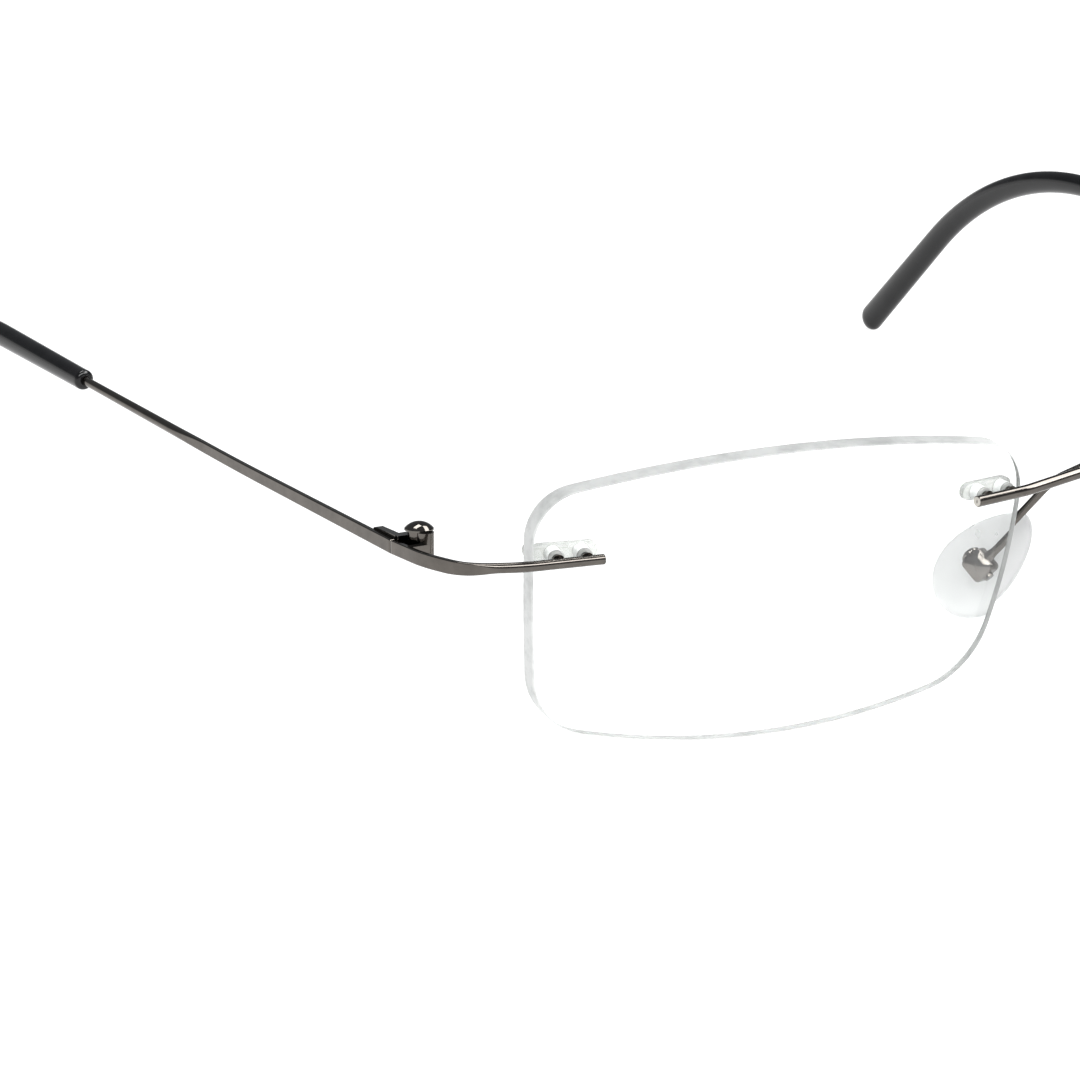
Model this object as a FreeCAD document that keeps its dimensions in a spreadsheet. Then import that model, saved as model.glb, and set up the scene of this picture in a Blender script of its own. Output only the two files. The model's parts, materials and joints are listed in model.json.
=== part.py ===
"""Rimless eyeglasses: two drilled lenses, a wire bridge, forged wire endpieces, hinged temples
with tip covers, and clear nose pads that rock on their screws.

Frame: X across the face (the wearer's right is -X), Y from the lenses back to the temple tips,
Z up. The glasses stand as they do on a table, on the lower lens edges and the temple tips.
Every right-hand piece is modelled, and the left-hand one is its mirror image in the YZ plane.
"""
import FreeCAD, Part
import Sketcher
import math
import os
import re

Vec = FreeCAD.Vector
Rot = FreeCAD.Rotation
Place = FreeCAD.Placement

UP = Vec(0, 0, 1)
ORIGIN = Vec(0, 0, 0)
FORGED_STATIONS = 16
STRIP_RUNS = 3
FORGING_RUNS = 4
NEARLY_ROUND = 0.49
NOT_QUITE_CIRCLE = 1.002
FLATTENS_SOONER = 1.5
SQUARES_SOONER = 2
TOUCH = 0.01
SHORTEST_EDGE = 1e-6
OUTLINE_POINTS = 24
# nose pad sections from its crown to its back: share of the outline, share of the depth
PAD_SECTIONS = ((0.55, -1.0), (0.8, -0.8), (0.94, -0.42), (1.0, 0.13), (0.97, 0.6), (0.88, 1.0))

# Driving dimensions in millimetres and degrees: alias and value.
DRIVING = (
    # lenses: a rounded four-sided outline of convex arcs, cut from a spherical shell
    ("lens_width", 53.8),
    ("lens_depth", 29.4),
    ("lens_thickness", 1.85),
    ("front_radius", 130.0),
    ("between_lenses", 17.6),
    ("wrap_angle", 3.0),
    ("lens_tilt", 10.0),
    ("vertex_y", -70.44),
    ("top_radius", 107.4),
    ("top_apex_u", -1.9),
    ("bottom_radius", 98.9),
    ("bottom_apex_u", 1.1),
    ("nasal_radius", 69.8),
    ("nasal_apex_v", 10.3),
    ("temporal_radius", 148.2),
    ("temporal_apex_v", 13.2),
    ("corner_top_nasal", 6.0),
    ("corner_bottom_nasal", 7.9),
    ("corner_bottom_temporal", 7.3),
    ("corner_top_temporal", 5.1),
    ("blank_thickness", 14.0),
    ("edge_bevel", 0.12),
    # drilled mounts: two posts in a double-barrelled clear sleeve
    ("temporal_mount_u", -23.17),
    ("temporal_mount_v", 6.35),
    ("temporal_pitch", 2.8),
    ("nasal_mount_u", 23.23),
    ("nasal_mount_v", 6.9),
    ("nasal_pitch", 3.0),
    ("bar_gap", 1.15),
    ("post_diameter", 0.9),
    ("collar_diameter", 1.25),
    ("collar_height", 0.5),
    ("barrel_diameter", 1.5),
    ("bore_clearance", 0.02),
    ("plate_height", 1.7),
    ("plate_thickness", 0.6),
    ("temporal_outer_overhang", 2.5),
    ("temporal_inner_overhang", 1.75),
    ("nasal_overhang", 1.5),
    ("plate_seat", 0.08),
    ("post_end", 0.1),
    ("sleeve_stand", 0.33),
    # endpiece: round wire on the lens, forged into an upright strip towards the hinge
    ("endpiece_diameter", 1.0),
    ("endpiece_start_u", -20.24),
    ("knee_x", 64.15),
    ("knee_y", 1.9),
    ("knee_radius", 12.0),
    ("bend_x", 69.05),
    ("bend_y", 4.3),
    ("bend_radius", 5.0),
    ("ease_y", 9.4),
    ("ease_radius", 15.0),
    ("temple_x", 70.36),
    ("seam_y", 15.05),
    ("strip_height", 1.36),
    ("strip_width", 0.55),
    ("strip_corner", 0.12),
    ("strip_drop", 0.12),
    ("forge_start", 10.2),
    ("forge_length", 5.5),
    # bridge wire and the arms brazed to its back
    ("bridge_diameter", 1.1),
    ("bridge_start_u", 20.06),
    ("bridge_knee_x", 9.0),
    ("bridge_knee_y", -0.85),
    ("bridge_knee_rise", 0.1),
    ("bridge_crest_x", 2.4),
    ("bridge_crest_y", -0.5),
    ("bridge_crest_rise", 0.92),
    ("bridge_bend_radius", 9.0),
    ("arm_diameter", 0.8),
    ("arm_bend_radius", 3.0),
    ("arm_end_gap", 0.5),
    ("arm_behind_crest", 0.78),
    ("arm_above_crest", 0.6),
    ("arm_knee_x", 5.3),
    ("arm_knee_drop", 0.6),
    ("arm_elbow_reach", 1.25),
    ("arm_elbow_radius", 0.7),
    # hinge on a vertical axis, inboard of the strip and just ahead of the seam
    ("hinge_inboard", 2.2),
    ("hinge_forward", 1.1),
    ("knuckle_diameter", 2.2),
    ("knuckle_bottom", -0.65),
    ("knuckle_height", 0.55),
    ("middle_knuckle_height", 1.1),
    ("hinge_play", 0.04),
    ("hinge_web", 0.8),
    ("web_clearance", 0.1),
    ("block_top", 0.6),
    ("block_short_of_seam", 0.2),
    ("hinge_bore_clearance", 0.01),
    ("leaf_length", 4.2),
    ("leaf_thickness", 0.8),
    ("leaf_relief", 0.1),
    ("arm_reach", 0.4),
    ("arm_width", 1.1),
    ("seam_gap", 0.05),
    ("hinge_screw_diameter", 1.2),
    ("hinge_head_diameter", 2.8),
    ("hinge_head_height", 0.8),
    ("screw_rim", 0.15),
    ("screw_slot_width", 0.28),
    ("screw_slot_depth", 0.35),
    ("running_clearance", 0.04),
    # temple: strip tapering to wire, rising gently, then hooked down behind the ear
    ("strip_height_end", 1.08),
    ("strip_length", 36.0),
    ("wire_start", 44.0),
    ("wire_diameter_start", 1.04),
    ("wire_diameter_end", 0.9),
    ("first_run", 30.0),
    ("first_slope", 0.046),
    ("second_slope", 0.0627),
    ("gentle_radius", 600.0),
    ("ear_bend_start", 80.0),
    ("ear_bend_radius", 45.0),
    ("ear_bend_angle", 42.0),
    ("cover_start", 62.0),
    ("cover_diameter", 2.1),
    ("cover_end_height", 3.2),
    ("cover_end_width", 2.3),
    ("cover_front_round", 0.5),
    ("core_short_of_end", 6.0),
    # nose pads
    ("pad_length", 13.0),
    ("pad_width", 7.8),
    ("pad_egg", 0.21),
    ("pad_crown", 1.0),
    ("pad_back", 0.75),
    ("pad_x", 8.57),
    ("pad_y", 7.08),
    ("pad_z", -1.7),
    ("pad_splay", 30.3),
    ("pad_frontal", 8.75),
    ("pad_twist", 42.9),
    ("box_width", 2.6),
    ("box_length", 2.5),
    ("box_depth", 1.75),
    ("box_bottom", 1.35),
    ("box_offset", 0.1),
    ("box_side_wall", 0.55),
    ("box_end_wall", 0.4),
    ("box_plate", 0.35),
    ("pivot_height", 2.2),
    ("tab_width", 1.4),
    ("tab_length", 1.1),
    ("tab_top", 0.4),
    ("insert_length", 6.0),
    ("insert_width", 2.8),
    ("insert_thickness", 0.4),
    ("pad_screw_diameter", 0.95),
    ("pad_head_diameter", 1.9),
    ("pad_head_height", 0.55),
    ("pad_screw_overrun", 0.3),
    ("box_round", 0.22),
    ("box_bore_clearance", 0.01),
)

doc = FreeCAD.newDocument("Eyeglasses")
sheet = doc.addObject("Spreadsheet::Sheet", "Sizes")
for row, (alias, value) in enumerate(DRIVING, start=1):
    sheet.set(f"A{row}", alias)
    sheet.set(f"B{row}", str(value))
    sheet.setAlias(f"B{row}", alias)
doc.recompute()


def size(alias):
    """The value of one driving dimension."""
    return float(sheet.get(alias))


def bind(obj, **expressions):
    """Bind properties to sheet cells; aliases are written bare in each expression."""
    for prop, expression in expressions.items():
        obj.setExpression(prop, re.sub(r"[a-z]+(_[a-z]+)*",
                                       lambda word: f"Sizes.{word.group()}", expression))


# ---------------------------------------------------------------- frames of reference

def axes_placement(origin, x_axis, y_axis, z_axis):
    """A placement whose axes are three given unit vectors."""
    return Place(origin, Rot(x_axis, y_axis, z_axis, "ZXY"))


def sag(radius_out):
    """How far the lens front lies behind its vertex at a distance from the lens axis."""
    return size("front_radius") - math.sqrt(size("front_radius") ** 2 - radius_out ** 2)


def lens_frame():
    """Right lens: X along the lens towards the nose, Y up the lens, Z out of its front."""
    half = size("lens_depth") / 2
    tilt = math.radians(size("lens_tilt"))
    lower_edge = sag(half) + size("edge_bevel")
    rest_height = half * math.cos(tilt) - lower_edge * math.sin(tilt)
    centre_x = -(size("between_lenses") + size("lens_width")) / 2
    centre = Vec(centre_x, size("vertex_y"), rest_height)
    return Place(centre, Rot(-size("wrap_angle"), 0, 90 + size("lens_tilt")))


def mount_frame(lens, u, v):
    """A drilled mount on the lens front: X level towards the nose, Z along the holes."""
    radius = size("front_radius")
    local = Vec(u, v, math.sqrt(radius ** 2 - u ** 2 - v ** 2) - radius)
    outward = lens.Rotation.multVec(local + Vec(0, 0, radius)).normalize()
    level = UP.cross(outward).normalize()
    return axes_placement(lens.multVec(local), level, outward.cross(level), outward)


def pad_frame(lens):
    """Right nose pad: X along its screw, Y up the pad, Z from the pad towards its box."""
    splay = math.radians(size("pad_splay"))
    frontal = math.radians(size("pad_frontal"))
    twist = math.radians(size("pad_twist"))
    boxward = Vec(-math.cos(splay) * math.cos(frontal),
                  -math.sin(splay) * math.cos(frontal),
                  math.sin(frontal))
    upward = (UP - boxward * UP.dot(boxward)).normalize()
    sideways = upward.cross(boxward)
    long_axis = upward * math.cos(twist) + sideways * math.sin(twist)
    origin = Vec(-size("pad_x"), lens.Base.y + size("pad_y"), lens.Base.z + size("pad_z"))
    return axes_placement(origin, long_axis.cross(boxward), long_axis, boxward)


LENS = lens_frame()
TEMPORAL_MOUNT = mount_frame(LENS, size("temporal_mount_u"), size("temporal_mount_v"))
NASAL_MOUNT = mount_frame(LENS, size("nasal_mount_u"), size("nasal_mount_v"))
PAD = pad_frame(LENS)


def above_lens(u, v, gap):
    """The point a given gap in front of the lens surface."""
    radius = size("front_radius")
    on_surface = Vec(u, v, math.sqrt(radius ** 2 - u ** 2 - v ** 2))
    outward = on_surface * ((radius + gap) / radius)
    return LENS.multVec(outward - Vec(0, 0, radius))


def strip_centre_z():
    """Height of the endpiece strip and of the front end of the temple."""
    start = above_lens(size("endpiece_start_u"), size("temporal_mount_v"), size("bar_gap"))
    return start.z - size("strip_drop")


HINGE = Place(Vec(-size("temple_x") + size("hinge_inboard"),
                  LENS.Base.y + size("seam_y") - size("hinge_forward"),
                  strip_centre_z()), Rot())


# ---------------------------------------------------------------- shared helpers

def placed(obj, frame, offset=ORIGIN, turn=Rot()):
    """Place an object in a frame at an offset and turn of its own."""
    obj.Placement = frame.multiply(Place(offset, turn))
    return obj


def label(obj, name):
    """Give an object its node name."""
    obj.Label = name
    return obj


def cut(name, base, *tools):
    """The base with each tool cut away in turn."""
    result = base
    for tool in tools:
        step = doc.addObject("Part::Cut", "Cut")
        step.Base = result
        step.Tool = tool
        result = step
    return label(result, name)


def fuse(name, *pieces):
    """Several overlapping pieces as one solid."""
    result = doc.addObject("Part::MultiFuse", "Fuse")
    result.Shapes = list(pieces)
    result.Refine = True
    return label(result, name)


def cylinder(frame, offset, turn=Rot(), **expressions):
    """A cylinder along the frame's Z, with its Radius and Height bound to the sheet."""
    obj = doc.addObject("Part::Cylinder", "Cylinder")
    bind(obj, **expressions)
    return placed(obj, frame, offset, turn)


def box(frame, low, **expressions):
    """A box from its low corner, with its Length, Width and Height bound to the sheet."""
    obj = doc.addObject("Part::Box", "Box")
    bind(obj, **expressions)
    return placed(obj, frame, low)


def feature(name, shape):
    """A sub-part whose shape is a loft or a sweep along a bent path."""
    obj = doc.addObject("Part::Feature", "Feature")
    obj.Shape = shape
    return label(obj, name)


def origin_plane(body, role):
    """One of a body's own origin planes."""
    return next(o for o in body.Origin.OriginFeatures if o.Role == role)


def new_sketch(body, name, role="XY_Plane", height=None):
    """A sketch on a body's origin plane, raised along the plane's normal if asked."""
    sketch = body.newObject("Sketcher::SketchObject", name)
    sketch.AttachmentSupport = [(origin_plane(body, role), "")]
    sketch.MapMode = "FlatFace"
    if height:
        bind(sketch, **{"AttachmentOffset.Base.z": height})
    return sketch


def constrain(sketch, kind, geometry, expression, value):
    """A dimension on a sketch, bound to the sheet."""
    index = sketch.addConstraint(Sketcher.Constraint(kind, *geometry, value))
    bind(sketch, **{f"Constraints[{index}]": expression})


def circle_in(sketch, x, x_rule, radius_rule, radius):
    """A circle on the sketch's X axis, with its centre and radius bound to the sheet."""
    index = sketch.addGeometry(Part.Circle(Vec(x, 0, 0), UP, radius))
    sketch.addConstraint(Sketcher.Constraint("PointOnObject", index, 3, -1))
    constrain(sketch, "DistanceX", (index, 3), x_rule, x)
    constrain(sketch, "Radius", (index,), radius_rule, radius)


def path_with_bends(points, radii):
    """A wire of straight runs joined by tangent arcs, one radius for each inner point."""
    edges = []
    start = points[0]
    for before, corner, after, radius in zip(points, points[1:], points[2:], radii):
        incoming = (corner - before).normalize()
        outgoing = (after - corner).normalize()
        half_turn = incoming.getAngle(outgoing) / 2
        reach = radius * math.tan(half_turn)
        arc_start = corner - incoming * reach
        arc_end = corner + outgoing * reach
        inward = (outgoing - incoming).normalize()
        middle = corner + inward * (radius / math.cos(half_turn) - radius)
        edges.append(Part.LineSegment(start, arc_start).toShape())
        edges.append(Part.Arc(arc_start, middle, arc_end).toShape())
        start = arc_end
    edges.append(Part.LineSegment(start, points[-1]).toShape())
    return Part.Wire(edges)


def along(wire, distance):
    """Point and direction at a distance along a wire of tangent edges."""
    for edge in wire.OrderedEdges:
        if distance <= edge.Length or edge.isSame(wire.OrderedEdges[-1]):
            parameter = edge.getParameterByLength(min(distance, edge.Length))
            return edge.valueAt(parameter), edge.tangentAt(parameter)
        distance -= edge.Length
    raise ValueError("empty wire")


def round_wire(path, diameter):
    """Wire of one diameter swept along a path, its seam underneath and clear of the posts."""
    start, direction = along(path, 0)
    profile = Part.Face(Part.Wire(Part.Circle(start, direction, diameter / 2).toShape()))
    level = UP.cross(direction).normalize()
    seam = profile.Edges[0].valueAt(profile.Edges[0].FirstParameter) - start
    underneath = direction.cross(level) * -1
    turn = math.atan2(direction.dot(seam.cross(underneath)), seam.dot(underneath))
    profile.rotate(start, direction, math.degrees(turn))
    return path.makePipe(profile)


def strip_section(centre, across, upright, width, height, corner):
    """A rounded rectangle, which is nearly a circle when the corner is half its width."""
    x_side = width / 2 - corner
    y_side = height / 2 - corner
    diagonal = corner * math.sqrt(0.5)

    def at(x, y):
        return centre + across * x + upright * y

    edges = []
    for sx, sy in ((1, 1), (-1, 1), (-1, -1), (1, -1)):
        first = at(sx * (x_side + corner), sy * y_side)
        last = at(sx * x_side, sy * (y_side + corner))
        middle = at(sx * (x_side + diagonal), sy * (y_side + diagonal))
        if sx * sy < 0:
            first, last = last, first
        edges.append(Part.Arc(first, middle, last).toShape())
        run_from, run_to = last, at(-sx * x_side, sy * (y_side + corner))
        if sx * sy < 0:
            run_to = at(sx * (x_side + corner), -sy * y_side)
        edges.append(Part.LineSegment(run_from, run_to).toShape())
    return Part.Wire(edges)


def ellipse_section(centre, across, upright, width, height):
    """An ellipse with its axes across and upright."""
    if height >= width:
        major, minor = upright * (height / 2), across * (width / 2)
    else:
        major, minor = across * (width / 2), upright * (height / 2)
    return Part.Wire(Part.Ellipse(centre + major, centre + minor, centre).toShape())


def blend(first, last, fraction):
    """A value between two others, easing in and out."""
    fraction = min(max(fraction, 0), 1)
    return first + (last - first) * fraction * fraction * (3 - 2 * fraction)


def mirrored(source):
    """The left-hand piece that matches a right-hand one."""
    obj = doc.addObject("Part::Mirroring", "Mirror")
    obj.Source = source
    obj.Normal = Vec(1, 0, 0)
    return label(obj, source.Label.replace("right_", "left_"))


# ---------------------------------------------------------------- lens

def lens_outline(sketch):
    """Four convex sides joined by four tangent corner arcs, fully constrained."""
    half_width = size("lens_width") / 2
    half_depth = size("lens_depth") / 2
    sides = (
        (Vec(size("top_apex_u"), half_depth - size("top_radius")), "top_radius",
         "top_apex_u", "lens_depth / 2 - top_radius"),
        (Vec(half_width - size("nasal_radius"), size("nasal_apex_v")), "nasal_radius",
         "lens_width / 2 - nasal_radius", "nasal_apex_v"),
        (Vec(size("bottom_apex_u"), size("bottom_radius") - half_depth), "bottom_radius",
         "bottom_apex_u", "bottom_radius - lens_depth / 2"),
        (Vec(size("temporal_radius") - half_width, size("temporal_apex_v")), "temporal_radius",
         "temporal_radius - lens_width / 2", "temporal_apex_v"),
    )
    corners = ("corner_top_nasal", "corner_bottom_nasal",
               "corner_bottom_temporal", "corner_top_temporal")
    quadrants = (Vec(1, 1), Vec(1, -1), Vec(-1, -1), Vec(-1, 1))
    centres = []
    for index, corner in enumerate(corners):
        first, following = sides[index], sides[(index + 1) % 4]
        centres.append(corner_centre(first[0], size(first[1]) - size(corner),
                                     following[0], size(following[1]) - size(corner),
                                     quadrants[index]))
    # each arc runs counter-clockwise, so the sides are visited clockwise in reverse
    order = (0, 3, 2, 1)
    arcs = []
    for index in order:
        centre, radius_name = sides[index][:2]
        start = angle_of(centres[index] - centre)
        end = angle_of(centres[index - 1] - centre)
        arcs.append((centre, size(radius_name), start, end))
        corner_start = end
        following = sides[index - 1][0]
        corner_end = angle_of(centres[index - 1] - following)
        arcs.append((centres[index - 1], size(corners[index - 1]), corner_start, corner_end))
    for centre, radius, start, end in arcs:
        circle = Part.Circle(centre, UP, radius)
        if end < start:
            end += 2 * math.pi
        sketch.addGeometry(Part.ArcOfCircle(circle, start, end))
    for index in range(len(arcs)):
        following = (index + 1) % len(arcs)
        sketch.addConstraint(Sketcher.Constraint("Tangent", index, 2, following, 1))
    for position, index in enumerate(order):
        centre, radius_name, x_rule, y_rule = sides[index]
        side = 2 * position
        constrain(sketch, "DistanceX", (side, 3), x_rule, centre.x)
        constrain(sketch, "DistanceY", (side, 3), y_rule, centre.y)
        constrain(sketch, "Radius", (side,), radius_name, size(radius_name))
        corner = corners[index - 1]
        constrain(sketch, "Radius", (side + 1,), corner, size(corner))


def angle_of(direction):
    """Angle of a flat vector from X, in radians."""
    return math.atan2(direction.y, direction.x)


def corner_centre(first, first_reach, second, second_reach, quadrant):
    """Centre of the corner arc that touches two sides from inside."""
    between = second - first
    spread = between.Length
    along_line = (first_reach ** 2 - second_reach ** 2 + spread ** 2) / (2 * spread)
    off_line = math.sqrt(first_reach ** 2 - along_line ** 2)
    unit = between * (1 / spread)
    base = first + unit * along_line
    normal = Vec(-unit.y, unit.x) * off_line
    for candidate in (base + normal, base - normal):
        if candidate.x * quadrant.x > 0 and candidate.y * quadrant.y > 0:
            return candidate
    raise ValueError("the lens outline doesn't close")


def make_lens():
    """The lens: outline pad, between two concentric spheres, drilled for the sleeves."""
    blank = doc.addObject("PartDesign::Body", "LensBlank")
    outline = new_sketch(blank, "LensOutline")
    lens_outline(outline)
    pad = blank.newObject("PartDesign::Pad", "LensPad")
    pad.Profile = outline
    pad.SideType = "Symmetric"
    bind(pad, Length="blank_thickness")
    blank.Placement = LENS
    centre = Vec(0, 0, -size("front_radius"))
    poles_up_and_down = Rot(Vec(1, 0, 0), 90)
    front = doc.addObject("Part::Sphere", "LensFront")
    bind(front, Radius="front_radius")
    placed(front, LENS, centre, poles_up_and_down)
    back = doc.addObject("Part::Sphere", "LensBack")
    bind(back, Radius="front_radius - lens_thickness")
    placed(back, LENS, centre, poles_up_and_down)
    shaped = doc.addObject("Part::Common", "LensShaped")
    shaped.Base = blank
    shaped.Tool = front
    holes = []
    for mount, pitch in ((TEMPORAL_MOUNT, "temporal_pitch"), (NASAL_MOUNT, "nasal_pitch")):
        for side in (-0.5, 0.5):
            offset = Vec(side * size(pitch), 0, -2 * size("lens_thickness"))
            holes.append(cylinder(mount, offset, Radius="barrel_diameter / 2 + bore_clearance",
                                  Height="4 * lens_thickness"))
    drilled = cut("LensDrilled", shaped, back, *holes)
    doc.recompute()
    bevelled = doc.addObject("Part::Chamfer", "LensBevel")
    bevelled.Base = drilled
    bevel = size("edge_bevel")
    bevelled.Edges = [(index, bevel, bevel)
                      for index, edge in enumerate(drilled.Shape.Edges, start=1)
                      if is_rim_edge(edge)]
    return label(bevelled, "right_lens")


def is_rim_edge(edge):
    """True for the long open edges round the lens, not for hole rims or corner lines."""
    return len(edge.Vertexes) == 2 and edge.Length > 1.5 * size("lens_thickness")


# ---------------------------------------------------------------- posts and sleeves

def make_sleeve(name, mount, pitch, outer_overhang, inner_overhang):
    """Clear double-barrelled sleeve: a plate on the lens back, and barrels through the lens.

    The barrels stand a little proud of the lens front, round the foot of each post.
    """
    body = doc.addObject("PartDesign::Body", "Sleeve")
    half = size(pitch) / 2
    end = size("plate_height") / 2
    inner = half + size(inner_overhang) - end
    outer = -half - size(outer_overhang) + end
    slot = new_sketch(body, "PlateOutline")
    inner_end = Part.ArcOfCircle(Part.Circle(Vec(inner, 0, 0), UP, end), -math.pi / 2, math.pi / 2)
    outer_end = Part.ArcOfCircle(Part.Circle(Vec(outer, 0, 0), UP, end), math.pi / 2,
                                 3 * math.pi / 2)
    slot.addGeometry([inner_end, outer_end,
                      Part.LineSegment(Vec(inner, end, 0), Vec(outer, end, 0)),
                      Part.LineSegment(Vec(outer, -end, 0), Vec(inner, -end, 0))])
    for first, first_end, second, second_end in ((0, 2, 2, 1), (2, 2, 1, 1),
                                                 (1, 2, 3, 1), (3, 2, 0, 1)):
        slot.addConstraint(Sketcher.Constraint("Tangent", first, first_end, second, second_end))
    slot.addConstraint(Sketcher.Constraint("PointOnObject", 0, 3, -1))
    slot.addConstraint(Sketcher.Constraint("PointOnObject", 1, 3, -1))
    constrain(slot, "Radius", (0,), "plate_height / 2", end)
    constrain(slot, "DistanceX", (0, 3),
              f"{pitch} / 2 + {inner_overhang} - plate_height / 2", inner)
    constrain(slot, "DistanceX", (1, 3),
              f"plate_height / 2 - {pitch} / 2 - {outer_overhang}", outer)
    plate = body.newObject("PartDesign::Pad", "Plate")
    plate.Profile = slot
    plate.Reversed = True
    bind(plate, Length="plate_thickness")
    barrels_sketch = new_sketch(body, "BarrelCircles")
    bores_sketch = new_sketch(body, "BoreCircles", height="-plate_thickness - post_end")
    for sign, rule in ((1, f"{pitch} / 2"), (-1, f"-{pitch} / 2")):
        circle_in(barrels_sketch, sign * half, rule, "barrel_diameter / 2",
                  size("barrel_diameter") / 2)
        circle_in(bores_sketch, sign * half, rule, "post_diameter / 2 + bore_clearance",
                  size("post_diameter") / 2)
    barrels = body.newObject("PartDesign::Pad", "Barrels")
    barrels.Profile = barrels_sketch
    bind(barrels, Length="plate_seat + lens_thickness + sleeve_stand")
    bores = body.newObject("PartDesign::Pocket", "Bores")
    bores.Profile = bores_sketch
    bores.Reversed = True
    bind(bores, Length="lens_thickness + plate_thickness + sleeve_stand + 2 * post_end")
    placed(body, mount, Vec(0, 0, -size("lens_thickness") - size("plate_seat")))
    return label(body, name)


def make_posts(name, mount, pitch, bar, bar_size):
    """A pair of posts brazed to the back of a bar, each with a conical braze collar."""
    posts = []
    for side in (-0.5, 0.5):
        across = side * size(pitch)
        length_back = size("lens_thickness") + size("plate_thickness") + size("post_end")
        shank = cylinder(mount, Vec(across, 0, -length_back), Radius="post_diameter / 2",
                         Height="lens_thickness + plate_thickness + post_end + bar_gap")
        collar = doc.addObject("Part::Cone", "Collar")
        bind(collar, Radius1="post_diameter / 2", Radius2="collar_diameter / 2",
             Height="collar_height")
        placed(collar, mount, Vec(across, 0, size("bar_gap") - size(bar_size) / 2
                                  - size("collar_height") / 2))
        posts.append(fuse("Post", shank, collar))
    pair = doc.addObject("Part::Compound", "Posts")
    pair.Links = posts
    return cut(name, pair, bar)


# ---------------------------------------------------------------- bars

def endpiece_path():
    """Centre line of the endpiece, from its free end on the lens to the hinge seam."""
    start = above_lens(size("endpiece_start_u"), size("temporal_mount_v"), size("bar_gap"))
    y_vertex = LENS.Base.y
    points = [
        start,
        Vec(-size("knee_x"), y_vertex + size("knee_y"), start.z),
        Vec(-size("bend_x"), y_vertex + size("bend_y"), start.z),
        Vec(-size("temple_x"), y_vertex + size("ease_y"), start.z),
        Vec(-size("temple_x"), y_vertex + size("seam_y"), start.z),
    ]
    radii = [size("knee_radius"), size("bend_radius"), size("ease_radius")]
    return path_with_bends(points, radii)


def make_round_bar():
    """Round wire part of the endpiece, over the lens."""
    straight = part_of_path(endpiece_path(), 0, size("forge_start"))
    return feature("EndpieceRoundBar", round_wire(straight, size("endpiece_diameter")))


def make_endpiece(round_bar):
    """Round bar over the lens, then forged flat as it turns back to the hinge."""
    path = endpiece_path()
    round_size = size("endpiece_diameter")
    forge_start = size("forge_start")
    forged_length = path.Length - forge_start
    sections = []
    for index in range(FORGED_STATIONS + 1):
        distance = forged_length * index / FORGED_STATIONS
        point, direction = along(path, forge_start + distance)
        fraction = distance / size("forge_length")
        height = blend(round_size, size("strip_height"), fraction)
        width = blend(round_size, size("strip_width"), fraction * FLATTENS_SOONER)
        corner = blend(round_size * NEARLY_ROUND, size("strip_corner"), fraction * SQUARES_SOONER)
        centre = point - UP * blend(0, size("strip_drop"), fraction * FLATTENS_SOONER)
        across = direction.cross(UP).normalize()
        sections.append(strip_section(centre, across, UP, width, height, corner))
    forged = feature("EndpieceForged", Part.makeLoft(sections, True, False))
    return fuse("right_endpiece", round_bar, forged)


def bridge_path():
    """Centre line of the bridge, from the right free end over the nose to the left one."""
    start = above_lens(size("bridge_start_u"), size("nasal_mount_v"), size("bar_gap"))
    y_vertex = LENS.Base.y
    knee = Vec(-size("bridge_knee_x"), y_vertex + size("bridge_knee_y"),
               start.z + size("bridge_knee_rise"))
    crest = Vec(-size("bridge_crest_x"), y_vertex + size("bridge_crest_y"),
                start.z + size("bridge_crest_rise"))
    half = [start, knee, crest]
    points = half + [Vec(-p.x, p.y, p.z) for p in reversed(half)]
    return path_with_bends(points, [size("bridge_bend_radius")] * 4)


def make_pad_arm(bridge, pad_box):
    """Wire brazed along the back of the bridge, then down and back to the pad's box."""
    start = above_lens(size("bridge_start_u"), size("nasal_mount_v"), size("bar_gap"))
    crest_z = start.z + size("bridge_crest_rise")
    behind = LENS.Base.y + size("bridge_crest_y") + size("arm_behind_crest")
    box_top = Vec(size("box_offset"), size("box_length") / 2, size("pivot_height"))
    points = [
        Vec(-size("arm_end_gap"), behind, crest_z + size("arm_above_crest")),
        Vec(-size("arm_knee_x"), behind, crest_z - size("arm_knee_drop")),
        PAD.multVec(box_top + Vec(0, size("arm_elbow_reach"), 0)),
        PAD.multVec(box_top - Vec(0, size("box_end_wall") / 2, 0)),
    ]
    path = path_with_bends(points, [size("arm_bend_radius"), size("arm_elbow_radius")])
    wire = feature("PadArmWire", round_wire(path, size("arm_diameter")))
    return cut("right_pad_arm", wire, bridge, pad_box)


# ---------------------------------------------------------------- hinge

def knuckle_span():
    """Heights of the two faces between the knuckles, and of the barrel's top."""
    lower = size("knuckle_bottom") + size("knuckle_height")
    upper = lower + size("middle_knuckle_height") + 2 * size("hinge_play")
    return lower, upper, upper + size("knuckle_height")


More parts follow.
